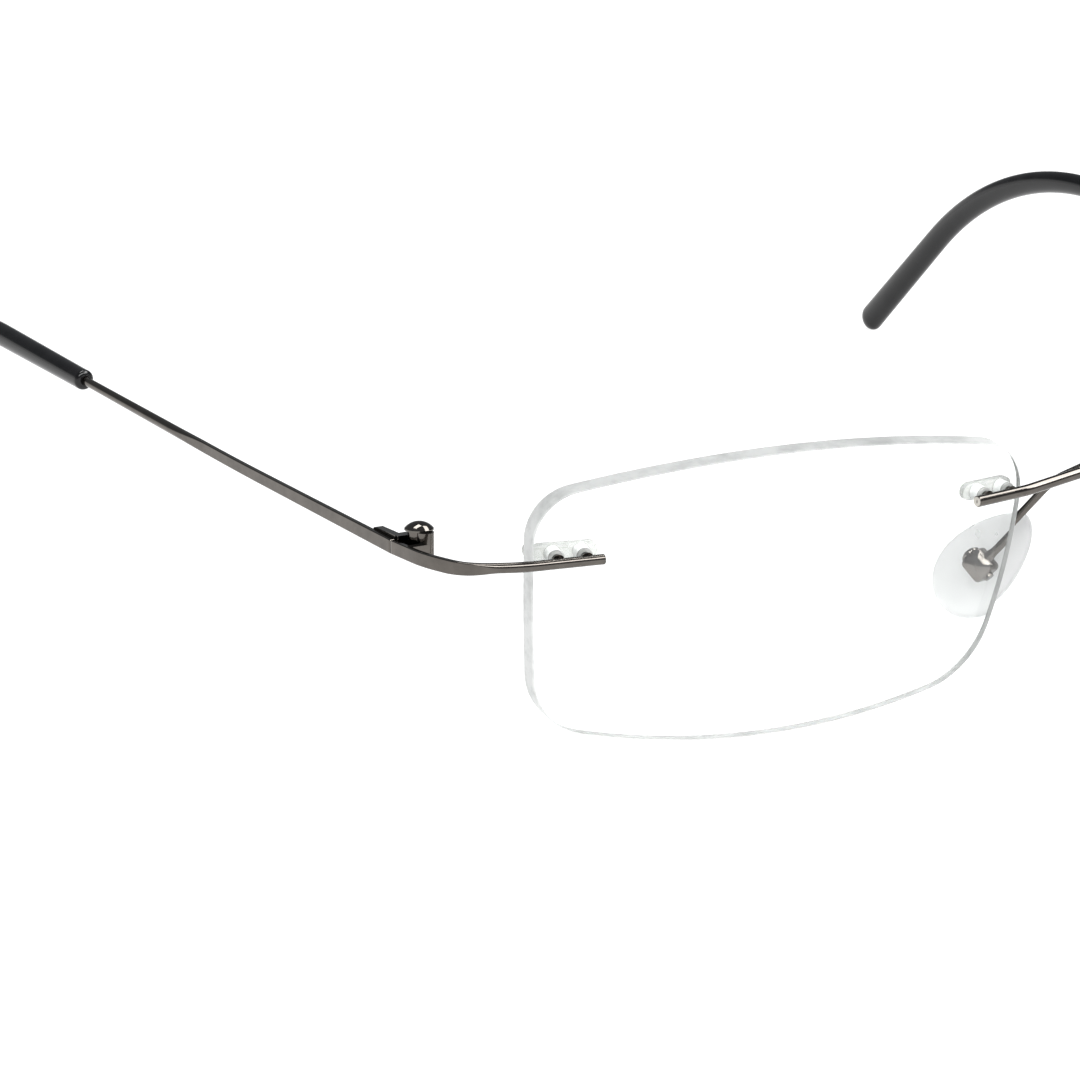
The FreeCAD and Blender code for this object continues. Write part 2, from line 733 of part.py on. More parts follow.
def make_hinge_front():
    """Outer knuckles of the hinge, on a low block brazed inside the endpiece.

    A round web ahead of the middle knuckle joins the upper knuckle to the block.
    """
    lower, _, _ = knuckle_span()
    bottom = size("knuckle_bottom")
    total = "2 * knuckle_height + middle_knuckle_height + 2 * hinge_play"
    web_back = -size("knuckle_diameter") / 2 - size("web_clearance")
    inner_face = -size("hinge_inboard") + size("strip_width") / 2
    barrel = cylinder(HINGE, Vec(0, 0, bottom), Radius="knuckle_diameter / 2", Height=total)
    block = box(HINGE, Vec(inner_face, web_back - size("hinge_web"), bottom),
                Length="hinge_inboard - strip_width / 2",
                Width="hinge_web + knuckle_diameter / 2 + web_clearance + hinge_forward"
                      " - block_short_of_seam",
                Height="block_top - knuckle_bottom")
    web = cylinder(HINGE, Vec(0, web_back, bottom), Radius="hinge_web", Height=total)
    slot = box(HINGE, Vec(inner_face - size("knuckle_diameter"), web_back, lower),
               Length="3 * knuckle_diameter", Width="3 * knuckle_diameter",
               Height="middle_knuckle_height + 2 * hinge_play")
    bore = cylinder(HINGE, Vec(0, 0, bottom - size("knuckle_height")),
                    Radius="hinge_screw_diameter / 2 + hinge_bore_clearance",
                    Height=f"{total} + 2 * knuckle_height")
    solid = fuse("HingeFrontSolid", barrel, block, web)
    return cut("right_hinge_front_leaf", solid, slot, bore)


def make_hinge_leaf():
    """Middle knuckle of the hinge on a low plate brazed inside the temple."""
    lower, _, _ = knuckle_span()
    base_z = lower + size("hinge_play")
    inner_face = -size("hinge_inboard") + size("strip_width") / 2
    height = "middle_knuckle_height"
    seam = size("hinge_forward")
    knuckle = cylinder(HINGE, Vec(0, 0, base_z), Radius="knuckle_diameter / 2", Height=height)
    plate_start = seam + size("seam_gap")
    plate = box(HINGE, Vec(inner_face, plate_start, base_z), Length="leaf_thickness",
                Width="leaf_length - middle_knuckle_height / 2", Height=height)
    tail_y = plate_start + size("leaf_length") - size("middle_knuckle_height") / 2
    tail = cylinder(HINGE, Vec(inner_face, tail_y, base_z + size("middle_knuckle_height") / 2),
                    Rot(Vec(0, 1, 0), 90), Radius="middle_knuckle_height / 2",
                    Height="leaf_thickness")
    arm_corner = Vec(inner_face + size("leaf_relief"), plate_start - size("arm_reach"), base_z)
    arm = box(HINGE, arm_corner, Length="hinge_inboard - strip_width / 2", Width="arm_width",
              Height=height)
    bore = cylinder(HINGE, Vec(0, 0, base_z - size("knuckle_height")),
                    Radius="hinge_screw_diameter / 2 + running_clearance",
                    Height="middle_knuckle_height + 2 * knuckle_height")
    solid = fuse("HingeLeafSolid", knuckle, plate, tail, arm)
    return cut("right_hinge_temple_leaf", solid, bore)


def make_screw(name, frame, shank, length, head, head_height, slot_in_head):
    """A turned screw with a domed head, its shank starting at the frame's origin.

    The driver slot is across the head, or across the far end of the shank.
    """
    body = doc.addObject("PartDesign::Body", "Screw")
    profile = new_sketch(body, "ScrewProfile", "XZ_Plane")
    shank_radius = size(shank) / 2
    head_radius = size(head) / 2
    top = length + size(head_height)
    rim = size("screw_rim")
    corners = [Vec(0, 0), Vec(shank_radius, 0), Vec(shank_radius, length),
               Vec(head_radius, length), Vec(head_radius, length + rim)]
    for first, second in zip(corners, corners[1:]):
        profile.addGeometry(Part.LineSegment(first, second))
    dome = size(head_height) - rim
    dome_radius = (head_radius ** 2 + dome ** 2) / (2 * dome)
    dome_angle = math.asin(head_radius / dome_radius)
    dome_circle = Part.Circle(Vec(0, top - dome_radius, 0), UP, dome_radius)
    profile.addGeometry(Part.ArcOfCircle(dome_circle, math.pi / 2 - dome_angle, math.pi / 2))
    profile.addGeometry(Part.LineSegment(Vec(0, top), Vec(0, 0)))
    revolution = body.newObject("PartDesign::Revolution", "ScrewTurned")
    revolution.Profile = profile
    revolution.ReferenceAxis = (profile, ["V_Axis"])
    revolution.Angle = 360
    doc.recompute()
    slot = new_sketch(body, "ScrewSlot", "XY_Plane")
    slot.AttachmentOffset = Place(Vec(0, 0, top if slot_in_head else 0), Rot())
    half_slot = size("screw_slot_width") / 2
    beyond = size(head)
    corners = [Vec(-beyond, -half_slot), Vec(beyond, -half_slot),
               Vec(beyond, half_slot), Vec(-beyond, half_slot)]
    for first, second in zip(corners, corners[1:] + corners[:1]):
        slot.addGeometry(Part.LineSegment(first, second))
    pocket = body.newObject("PartDesign::Pocket", "ScrewSlotCut")
    pocket.Profile = slot
    pocket.Reversed = not slot_in_head
    bind(pocket, Length="screw_slot_depth")
    body.Placement = frame
    return label(body, name)


# ---------------------------------------------------------------- temple

def temple_path():
    """Centre line of the temple: a gently rising run, then the hook down behind the ear.

    The hook ends where the tip's rounded end, centred on the last point, rests at height zero.
    """
    front = Vec(-size("temple_x"), LENS.Base.y + size("seam_y") + size("seam_gap"),
                strip_centre_z())
    first_run, first_slope = size("first_run"), size("first_slope")
    slope = size("second_slope")
    angle = math.radians(size("ear_bend_angle"))
    turn = math.atan(slope) + angle
    corner_run = size("ear_bend_start") + size("ear_bend_radius") * math.tan(turn / 2)
    break_rise = first_run * first_slope
    corner_rise = break_rise + (corner_run - first_run) * slope
    corner = front + Vec(0, corner_run, corner_rise)
    drop = corner.z - size("cover_end_height") / 2
    points = [
        front,
        front + Vec(0, first_run, break_rise),
        corner,
        corner + Vec(0, drop / math.tan(angle), -drop),
    ]
    return path_with_bends(points, [size("gentle_radius"), size("ear_bend_radius")])


def part_of_path(path, start, end):
    """The stretch of a path between two distances along it."""
    edges = []
    for edge in path.OrderedEdges:
        low, high = max(start, 0), min(end, edge.Length)
        if high - low > SHORTEST_EDGE:
            first = edge.getParameterByLength(low)
            last = edge.getParameterByLength(high)
            edges.append(edge.Curve.toShape(first, last))
        start -= edge.Length
        end -= edge.Length
    return Part.Wire(edges)


def side_axes(direction):
    """Sideways and upright directions of a section across the temple."""
    across = Vec(1, 0, 0)
    return across, direction.cross(across) * -1


def strip_at(path, distance, fraction_to_wire):
    """Section of the strip, tapering in height, on its way to round wire."""
    point, direction = along(path, distance)
    across, upright = side_axes(direction)
    taper = min(distance / size("strip_length"), 1)
    height = size("strip_height") + taper * (size("strip_height_end") - size("strip_height"))
    wire = size("wire_diameter_start")
    return strip_section(point, across, upright,
                         blend(size("strip_width"), wire, fraction_to_wire),
                         blend(height, wire, fraction_to_wire),
                         blend(size("strip_corner"), NEARLY_ROUND * wire, fraction_to_wire))


def circle_at(path, distance, diameter):
    """A round section across a path."""
    point, direction = along(path, distance)
    return Part.Wire(Part.Circle(point, direction, diameter / 2).toShape())


def make_temple():
    """The metal temple: strip, forged transition, tapered wire and the core of the tip."""
    path = temple_path()
    strip_end, wire_start = size("strip_length"), size("wire_start")
    cover_start = size("cover_start")
    strip_sections = [strip_at(path, strip_end * i / STRIP_RUNS, 0)
                      for i in range(STRIP_RUNS + 1)]
    forged = [strip_at(path, strip_end + (wire_start - strip_end) * i / FORGING_RUNS,
                       i / FORGING_RUNS) for i in range(FORGING_RUNS + 1)]
    wire = [circle_at(path, wire_start, size("wire_diameter_start")),
            circle_at(path, cover_start, size("wire_diameter_end"))]
    core_path = part_of_path(path, cover_start, path.Length - size("core_short_of_end"))
    pieces = [
        feature("TempleStrip", Part.makeLoft(strip_sections, True, True)),
        feature("TempleForging", Part.makeLoft(forged, True, True)),
        feature("TempleWire", Part.makeLoft(wire, True, True)),
        feature("TempleCore", round_wire(core_path, size("wire_diameter_end"))),
    ]
    return fuse("right_temple", *pieces)


def ellipse_at(path, distance, width, height):
    """An upright elliptical section across the temple."""
    point, direction = along(path, distance)
    across, upright = side_axes(direction)
    return ellipse_section(point, across, upright, width, height)


def make_tip(temple):
    """Tip cover: a sleeve over the core, rounded at its mouth and domed at its end."""
    path = temple_path()
    start = size("cover_start")
    mouth = size("cover_front_round")
    radius = size("cover_diameter") / 2
    half_height = size("cover_end_height") / 2
    half_width = size("cover_end_width") / 2

    shell = Part.BRepOffsetAPI.MakePipeShell(part_of_path(path, start, path.Length))
    shell.setBiNormalMode(Vec(1, 0, 0))
    shell.add(ellipse_at(path, start, 2 * radius, 2 * radius * NOT_QUITE_CIRCLE))
    shell.add(ellipse_at(path, path.Length, 2 * half_width, 2 * half_height))
    shell.build()
    shell.makeSolid()
    sleeve = shell.shape()
    front_edge = [edge for edge in sleeve.Edges
                  if edge.CenterOfMass.distanceToPoint(along(path, start)[0]) < radius / 2]
    sleeve = sleeve.makeFillet(mouth, front_edge).Solids[0]

    dome = Part.makeSphere(half_height)
    squash = FreeCAD.Matrix()
    squash.scale(half_width / half_height, 1, 1)
    dome = dome.transformGeometry(squash)
    dome.translate(along(path, path.Length)[0])

    cover = fuse("TipCoverSolid", feature("CoverSleeve", sleeve), feature("CoverDome", dome))
    return cut("right_temple_tip", cover, temple)


# ---------------------------------------------------------------- nose pad

def egg_outline(scale, height):
    """Egg-shaped pad outline, wider at its lower end, at one height in the pad frame."""
    points = []
    for index in range(OUTLINE_POINTS):
        angle = 2 * math.pi * index / OUTLINE_POINTS
        across = size("pad_width") / 2 * math.sin(angle) * (1 + size("pad_egg")
                                                            * math.cos(angle))
        lengthwise = -size("pad_length") / 2 * math.cos(angle)
        points.append(Vec(across * scale, lengthwise * scale, height))
    curve = Part.BSplineCurve()
    curve.interpolate(points, PeriodicFlag=True)
    return Part.Wire(curve.toShape())


def make_pad_insert():
    """Stiff insert moulded into the pad, with the drilled tab that the screw goes through."""
    thickness = size("insert_thickness")
    half_width = size("insert_width") / 2
    straight = size("insert_length") / 2 - half_width
    base = -thickness / 2
    across = size("box_offset")
    plate = box(PAD, Vec(-half_width, -straight, base), Length="insert_width",
                Width="insert_length - insert_width", Height="insert_thickness")
    ends = [cylinder(PAD, Vec(0, sign * straight, base), Radius="insert_width / 2",
                     Height="insert_thickness") for sign in (-1, 1)]
    tab = box(PAD, Vec(across - size("tab_width") / 2, -size("tab_length") / 2, base),
              Length="tab_width", Width="tab_length",
              Height="pivot_height + tab_top + insert_thickness / 2")
    bore = cylinder(PAD, Vec(across - size("tab_width"), 0, size("pivot_height")),
                    Rot(Vec(0, 1, 0), 90), Radius="pad_screw_diameter / 2 + running_clearance",
                    Height="2 * tab_width")
    return cut("right_pad_insert", fuse("PadInsertSolid", plate, tab, *ends), bore)


def make_nose_pad(insert):
    """Clear soft pad, crowned towards the nose, moulded round its insert."""
    crown, back = size("pad_crown"), size("pad_back")
    wires = [egg_outline(scale, share * (crown if share < 0 else back))
             for scale, share in PAD_SECTIONS]
    solid = feature("NosePadSolid", Part.makeLoft(wires, True, False))
    solid.Placement = PAD
    return cut("right_nose_pad", solid, insert)


def make_pad_box():
    """Small metal box on the pad arm, open towards the pad and drilled for its screw."""
    body = doc.addObject("PartDesign::Body", "PadBox")
    half_width, half_length = size("box_width") / 2, size("box_length") / 2
    shell = new_sketch(body, "BoxOutline", height="box_bottom")
    rectangle(shell, half_width, half_length, "box_width / 2", "box_length / 2")
    pad = body.newObject("PartDesign::Pad", "BoxBlock")
    pad.Profile = shell
    bind(pad, Length="box_depth")
    cavity = new_sketch(body, "BoxCavity", height="box_bottom")
    rectangle(cavity, half_width - size("box_side_wall"), half_length - size("box_end_wall"),
              "box_width / 2 - box_side_wall", "box_length / 2 - box_end_wall")
    pocket = body.newObject("PartDesign::Pocket", "BoxHollow")
    pocket.Profile = cavity
    pocket.Reversed = True
    bind(pocket, Length="box_depth - box_plate")
    hole = new_sketch(body, "ScrewHole", "YZ_Plane")
    circle = hole.addGeometry(Part.Circle(Vec(0, size("pivot_height"), 0), UP,
                                          size("pad_screw_diameter") / 2))
    hole.addConstraint(Sketcher.Constraint("PointOnObject", circle, 3, -2))
    constrain(hole, "DistanceY", (circle, 3), "pivot_height", size("pivot_height"))
    constrain(hole, "Radius", (circle,), "pad_screw_diameter / 2 + box_bore_clearance",
              size("pad_screw_diameter") / 2)
    drill = body.newObject("PartDesign::Pocket", "ScrewBore")
    drill.Profile = hole
    drill.Type = "ThroughAll"
    drill.SideType = "Symmetric"
    doc.recompute()
    rounded = body.newObject("PartDesign::Fillet", "BoxRounds")
    rounded.Base = (drill, outer_box_edges(drill.Shape))
    bind(rounded, Radius="box_round")
    placed(body, PAD, Vec(size("box_offset"), 0, 0))
    return label(body, "right_pad_box")


def rectangle(sketch, half_x, half_y, x_rule, y_rule):
    """A rectangle about the sketch's origin, with its half sizes bound to the sheet."""
    corners = [Vec(-half_x, -half_y), Vec(half_x, -half_y), Vec(half_x, half_y),
               Vec(-half_x, half_y)]
    for first, second in zip(corners, corners[1:] + corners[:1]):
        sketch.addGeometry(Part.LineSegment(first, second))
    for index in range(4):
        sketch.addConstraint(Sketcher.Constraint("Coincident", index, 2, (index + 1) % 4, 1))
    for index, kind in enumerate(("Horizontal", "Vertical", "Horizontal", "Vertical")):
        sketch.addConstraint(Sketcher.Constraint(kind, index))
    sketch.addConstraint(Sketcher.Constraint("Symmetric", 0, 1, 2, 1, -1, 1))
    constrain(sketch, "DistanceX", (1, 1), x_rule, half_x)
    constrain(sketch, "DistanceY", (2, 1), y_rule, half_y)


def outer_box_edges(shape):
    """Names of the box's corner edges and of the edges round its front plate."""
    half_width, half_length = size("box_width") / 2, size("box_length") / 2
    front = size("box_bottom") + size("box_depth")
    names = []
    for index, edge in enumerate(shape.Edges, start=1):
        middle = edge.CenterOfMass
        at_corner = (abs(abs(middle.x) - half_width) < TOUCH
                     and abs(abs(middle.y) - half_length) < TOUCH)
        on_front = abs(middle.z - front) < TOUCH
        if at_corner or on_front:
            names.append(f"Edge{index}")
    return names


# ---------------------------------------------------------------- assembly

def make_right_side(bridge):
    """Every right-hand piece, in the order it goes together."""
    lens = make_lens()
    round_bar = make_round_bar()
    endpiece = make_endpiece(round_bar)
    temple = make_temple()
    insert = make_pad_insert()
    pad_box = make_pad_box()
    _, _, barrel_top = knuckle_span()
    screw_base = HINGE.multiply(Place(Vec(0, 0, size("knuckle_bottom")), Rot()))
    pad_screw_length = size("box_width") + size("pad_screw_overrun")
    pad_screw_start = Vec(size("box_offset") + size("box_width") / 2
                          + size("pad_screw_overrun"), 0, size("pivot_height"))
    pad_screw_frame = PAD.multiply(Place(pad_screw_start, Rot(Vec(0, 1, 0), -90)))
    return [
        lens,
        make_sleeve("right_temporal_sleeve", TEMPORAL_MOUNT, "temporal_pitch",
                    "temporal_outer_overhang", "temporal_inner_overhang"),
        make_sleeve("right_nasal_sleeve", NASAL_MOUNT, "nasal_pitch",
                    "nasal_overhang", "nasal_overhang"),
        endpiece,
        make_posts("right_endpiece_posts", TEMPORAL_MOUNT, "temporal_pitch", round_bar,
                   "endpiece_diameter"),
        make_posts("right_bridge_posts", NASAL_MOUNT, "nasal_pitch", bridge,
                   "bridge_diameter"),
        make_hinge_front(),
        make_hinge_leaf(),
        make_screw("right_hinge_screw", screw_base, "hinge_screw_diameter",
                   barrel_top - size("knuckle_bottom"), "hinge_head_diameter",
                   "hinge_head_height", slot_in_head=False),
        temple,
        make_tip(temple),
        make_pad_arm(bridge, pad_box),
        pad_box,
        make_screw("right_pad_screw", pad_screw_frame, "pad_screw_diameter",
                   pad_screw_length, "pad_head_diameter", "pad_head_height",
                   slot_in_head=True),
        insert,
        make_nose_pad(insert),
    ]


def main():
    bridge = feature("bridge_bar", round_wire(bridge_path(), size("bridge_diameter")))
    right_side = make_right_side(bridge)
    doc.recompute()
    nodes = [bridge] + right_side + [mirrored(piece) for piece in right_side]
    doc.recompute()
    for obj in doc.Objects:
        if "Invalid" in obj.State or "Error" in obj.State:
            raise RuntimeError(f"{obj.Name} ({obj.Label}) failed: {obj.State}")
    for node in nodes:
        if node.Shape.isNull() or not node.Shape.isValid() or not node.Shape.Solids:
            raise RuntimeError(f"{node.Label} has no valid solid")
    os.makedirs("parts", exist_ok=True)
    for node in nodes:
        node.Shape.exportStep(f"parts/{node.Label}.step")
    print(len(nodes), "nodes written")


main()
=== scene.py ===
import json
import math
import bpy
import bmesh
from mathutils import Matrix, Vector
from mathutils.geometry import delaunay_2d_cdt


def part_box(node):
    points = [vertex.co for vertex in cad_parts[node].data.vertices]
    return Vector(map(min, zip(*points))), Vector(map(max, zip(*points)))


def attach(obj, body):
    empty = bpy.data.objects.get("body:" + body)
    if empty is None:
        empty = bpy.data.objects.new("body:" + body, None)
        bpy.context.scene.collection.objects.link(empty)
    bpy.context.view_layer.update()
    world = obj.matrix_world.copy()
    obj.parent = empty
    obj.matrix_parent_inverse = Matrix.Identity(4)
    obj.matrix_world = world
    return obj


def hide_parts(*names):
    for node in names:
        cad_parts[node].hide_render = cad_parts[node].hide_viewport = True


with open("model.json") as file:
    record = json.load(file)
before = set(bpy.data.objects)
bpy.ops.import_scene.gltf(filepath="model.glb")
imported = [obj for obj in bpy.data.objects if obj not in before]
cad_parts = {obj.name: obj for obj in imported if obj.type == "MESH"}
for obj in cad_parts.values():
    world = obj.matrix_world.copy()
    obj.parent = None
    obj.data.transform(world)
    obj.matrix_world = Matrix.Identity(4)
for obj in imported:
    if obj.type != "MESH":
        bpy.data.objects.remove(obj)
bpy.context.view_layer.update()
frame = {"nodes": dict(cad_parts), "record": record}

MM = 0.001
scene = bpy.context.scene


# ---------------------------------------------------------------- materials

class Tree:
    """A short way to build a node material."""

    def __init__(self, name):
        self.material = bpy.data.materials.new(name)
        self.material.use_nodes = True
        self.tree = self.material.node_tree
        self.tree.nodes.clear()
        self.output = self.tree.nodes.new("ShaderNodeOutputMaterial")

    def node(self, kind, inputs=None, **settings):
        node = self.tree.nodes.new("ShaderNode" + kind)
        for key, value in settings.items():
            setattr(node, key, value)
        for key, value in (inputs or {}).items():
            if isinstance(value, bpy.types.NodeSocket):
                self.tree.links.new(value, node.inputs[key])
            else:
                node.inputs[key].default_value = value
        return node

    def position(self):
        return self.node("TexCoord").outputs["Object"]

    def noise(self, vector, scale, detail=3.0, roughness=0.55):
        return self.node("TexNoise", {"Vector": vector, "Scale": scale, "Detail": detail,
                                      "Roughness": roughness}).outputs["Fac"]

    def ramp(self, factor, low, high, start=0.3, end=0.7):
        node = self.node("ValToRGB", {"Fac": factor})
        node.color_ramp.elements[0].position = start
        node.color_ramp.elements[1].position = end
        node.color_ramp.elements[0].color = (*low, 1)
        node.color_ramp.elements[1].color = (*high, 1)
        return node.outputs["Color"]

    def span(self, factor, low, high):
        return self.node("MapRange", {"Value": factor, "From Min": 0.25, "From Max": 0.75,
                                      "To Min": low, "To Max": high}).outputs["Result"]

    def bump(self, height, distance, strength=1.0):
        return self.node("Bump", {"Height": height, "Distance": distance,
                                  "Strength": strength}).outputs["Normal"]

    def surface(self, shader):
        self.tree.links.new(shader, self.output.inputs["Surface"])
        return self.material

    def lets_lamps_through(self, shader, tint):
        """Clear material whose shadow is only a tint."""
        path = self.node("LightPath")
        clear = self.node("BsdfTransparent", {"Color": (*tint, 1)})
        mix = self.node("MixShader", {0: path.outputs["Is Shadow Ray"], 1: shader,
                                      2: clear.outputs[0]})
        return self.surface(mix.outputs[0])


def metal(name, low, high, rough, grain):
    """Plated metal: mottled colour, and fine scratches grain mm deep along the temples."""
    t = Tree(name)
    place = t.position()
    scratch_scale = (900, 160, 2600)
    stretched = t.node("Mapping", {"Vector": place, "Scale": scratch_scale}).outputs[0]
    brushed = t.noise(stretched, 1.0, 4.0, 0.6)
    mottled = t.noise(place, 700.0)
    shader = t.node("BsdfPrincipled", {
        "Base Color": t.ramp(mottled, low, high), "Metallic": 1.0,
        "Roughness": t.span(brushed, *rough), "Normal": t.bump(brushed, grain * MM)})
    return t.surface(shader.outputs[0])


def clear_plastic(name, colour, ior, rough, ripple, tint):
    """Clear plastic whose surface ripples are a given depth in mm."""
    t = Tree(name)
    clouds = t.noise(t.position(), 420.0, 2.0)
    shader = t.node("BsdfPrincipled", {
        "Base Color": (*colour, 1), "IOR": ior, "Transmission Weight": 1.0,
        "Roughness": t.span(clouds, *rough), "Normal": t.bump(clouds, ripple * MM)})
    return t.lets_lamps_through(shader.outputs[0], tint)


def silicone(name):
    """Soft translucent rubber, a little cloudy."""
    t = Tree(name)
    clouds = t.noise(t.position(), 300.0)
    shader = t.node("BsdfPrincipled", {
        "Base Color": t.ramp(clouds, (0.66, 0.665, 0.665), (0.72, 0.725, 0.725)),
        "IOR": 1.41, "Transmission Weight": 0.6,
        "Roughness": t.span(clouds, 0.26, 0.36),
        "Normal": t.bump(clouds, 0.004 * MM)})
    return t.lets_lamps_through(shader.outputs[0], (0.9, 0.9, 0.9))


def black_cover(name):
    """Glossy black plastic with a faint orange-peel ripple."""
    t = Tree(name)
    clouds = t.noise(t.position(), 500.0)
    shader = t.node("BsdfPrincipled", {
        "Base Color": t.ramp(clouds, (0.0025, 0.0025, 0.003), (0.006, 0.006, 0.0065)),
        "Roughness": t.span(clouds, 0.1, 0.2), "Specular IOR Level": 0.35,
        "Normal": t.bump(clouds, 0.003 * MM)})
    return t.surface(shader.outputs[0])


def ground_edge(name, painted_inner_shading_low, painted_inner_shading_high, painted_top_shade):
    """Matt ground surface of the lens: patchy, with painted shade along its top, and a painted
    shading factor that changes with height where glass backs it.
    """
    t = Tree(name)
    place = t.position()
    patches = t.noise(place, 330.0, 4.0, 0.7)
    pale = t.ramp(patches, (0.51, 0.523, 0.513), (0.73, 0.74, 0.732), 0.3, 0.58)
    height = t.node("SeparateXYZ", {0: place}).outputs["Z"]

    def by_height(start, end, low, high):
        """A value that changes between two heights in mm."""
        return t.node("MapRange", {"Value": height, "From Min": start * MM, "From Max": end * MM,
                                   "To Min": low, "To Max": high}).outputs["Result"]

    # painted shade: the outer faces get darker above 23 mm height, up to the top edge
    outer_painted_shade = by_height(23.0, 27.5, 1.0, painted_top_shade)
    # painted shading factor for faces seen through the glass, changing between 12 and 20 mm height
    inner = by_height(12.0, 20.0, painted_inner_shading_low, painted_inner_shading_high)
    inner_face = t.node("NewGeometry").outputs["Backfacing"]
    # painted shading picked by the side of the face that is seen: the top shade from outside, the
    # factor from inside the glass
    painted_shading = t.node("MapRange", {"Value": inner_face, "To Min": outer_painted_shade,
                                "To Max": inner}).outputs["Result"]
    # the patchy tone times the painted shading
    colour = t.node("VectorMath", {0: pale, 1: painted_shading}, operation="MULTIPLY").outputs[0]
    shader = t.node("BsdfPrincipled", {
        "Base Color": colour, "Roughness": t.span(patches, 0.5, 0.65), "IOR": 1.5,
        "Normal": t.bump(t.noise(place, 1600.0, 2.0), 0.01 * MM)})
    return t.surface(shader.outputs[0])


def milky_plastic(name):
    """Moulded plastic between clear and milky."""
    t = Tree(name)
    clouds = t.noise(t.position(), 700.0, 3.0, 0.6)
    shader = t.node("BsdfPrincipled", {
        "Base Color": t.ramp(clouds, (0.6, 0.61, 0.595), (0.74, 0.745, 0.73)),
        "IOR": 1.36, "Transmission Weight": 0.62, "Roughness": t.span(clouds, 0.16, 0.26),
        "Normal": t.bump(clouds, 0.008 * MM)})
    return t.lets_lamps_through(shader.outputs[0], (0.9, 0.9, 0.895))


LOOKS = {
    "gunmetal": metal("gunmetal_satin", low=(0.105, 0.096, 0.087), high=(0.135, 0.123, 0.111),
                      rough=(0.07, 0.15), grain=0.0006),
    "screw_metal": metal("screw_polished", low=(0.1, 0.092, 0.084), high=(0.14, 0.13, 0.118),
                         rough=(0.05, 0.12), grain=0.0005),
    "gunmetal_pressed": metal("gunmetal_pressed", low=(0.12, 0.11, 0.1),
                              high=(0.2, 0.185, 0.17), rough=(0.06, 0.14), grain=0.004),
    "cut_end": metal("cut_wire_end", low=(0.42, 0.4, 0.37), high=(0.55, 0.52, 0.48),
                     rough=(0.25, 0.4), grain=0.002),
    # painted shading: the rim is darkened along its top and where seen through the glass; the hole
    # walls are lightened by 1.1 where seen through the glass
    "lens_rim": ground_edge("lens_ground_edge", painted_inner_shading_low=0.4, painted_inner_shading_high=0.66, painted_top_shade=0.48),
    "lens_hole": ground_edge("lens_drilled_hole", painted_inner_shading_low=1.1, painted_inner_shading_high=1.1, painted_top_shade=1.0),
    "lens_clear": clear_plastic("lens_polycarbonate", colour=(0.985, 0.995, 0.99), ior=1.5,
                                rough=(0.0, 0.01), ripple=0.0002, tint=(0.96, 0.97, 0.965)),
    "sleeve_clear": milky_plastic("sleeve_moulded"),
    "insert_clear": clear_plastic("insert_moulded", colour=(0.97, 0.975, 0.975), ior=1.03,
                                  rough=(0.08, 0.16), ripple=0.002, tint=(0.95, 0.955, 0.95)),
    "silicone_clear": silicone("pad_silicone"),
    "tip_black": black_cover("tip_cover_black"),
}

slots = {part["node"]: part["material_slot"] for part in frame["record"]["subparts"]}
for name, obj in frame["nodes"].items():
    obj.data.materials.clear()
    obj.data.materials.append(LOOKS[slots[name]])


# ---------------------------------------------------------------- where things are, in mm

UP = Vector((0, 0, 1))
FRONT_RADIUS = 130.0
LENS_WIDTH, LENS_DEPTH, LENS_THICKNESS, LENS_BEVEL = 53.8, 29.4, 1.85, 0.12
BETWEEN_LENSES, WRAP, TILT = 17.6, 3.0, 10.0
VERTEX_Y = -70.44

# middle of each mount on the lens, its two posts' pitch, and where the bar's cut end lies
MOUNTS = {"temporal": (-23.17, 6.35), "nasal": (23.23, 6.9)}
POST_PITCH = {"temporal": 2.8, "nasal": 3.0}
POST_HOLE = 1.54
BAR_START = {"temporal": -20.24, "nasal": 20.06}
BAR_GAP = 1.15
BRIDGE_WIRE, BRIDGE_RISE, BRIDGE_FORWARD = 1.1, 0.92, 0.5

# a corner radius of almost half the width makes a section nearly round
NEARLY_ROUND = 0.49
STRIP_HEIGHT, STRIP_WIDTH, STRIP_CORNER, STRIP_DROP = 1.36, 0.55, 0.12, 0.12
TEMPLE_X, SEAM_Y, SEAM_GAP = 70.36, 15.05, 0.05
STRIP_LENGTH, STRIP_END_HEIGHT = 36.0, 1.08
FORGE_LENGTH, TAPER_LENGTH, WIRE_START, WIRE_END = 8.0, 18.0, 1.04, 0.9
COVER_START, COVER_MOUTH, COVER_END_WIDTH, COVER_END_HEIGHT = 62.0, 2.1, 2.3, 3.2


def lens_matrix():
    """Right lens: X along the lens towards the nose, Y up the lens, Z out of its front."""
    low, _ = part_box("right_lens")
    half = LENS_DEPTH / 2
    drop = FRONT_RADIUS - math.sqrt(FRONT_RADIUS ** 2 - half ** 2) + LENS_BEVEL
    tilt = math.radians(TILT)
    rest_height = low[2] / MM + half * math.cos(tilt) - drop * math.sin(tilt)
    centre = Vector((-(BETWEEN_LENSES + LENS_WIDTH) / 2, VERTEX_Y, rest_height))
    turn = Matrix.Rotation(math.radians(-WRAP), 4, "Z") @ Matrix.Rotation(
        math.radians(90 + TILT), 4, "X")
    return Matrix.Translation(centre) @ turn


LENS = lens_matrix()
VERTEX = LENS.translation


def above_lens(u, v, gap):
    """The point a given gap in front of the lens surface."""
    out = Vector((u, v, math.sqrt(FRONT_RADIUS ** 2 - u ** 2 - v ** 2)))
    return LENS @ (out * ((FRONT_RADIUS + gap) / FRONT_RADIUS) - Vector((0, 0, FRONT_RADIUS)))


def bar_start(mount):
    """Middle of a bar's cut end, over the lens beside its mount."""
    return above_lens(BAR_START[mount], MOUNTS[mount][1], BAR_GAP)


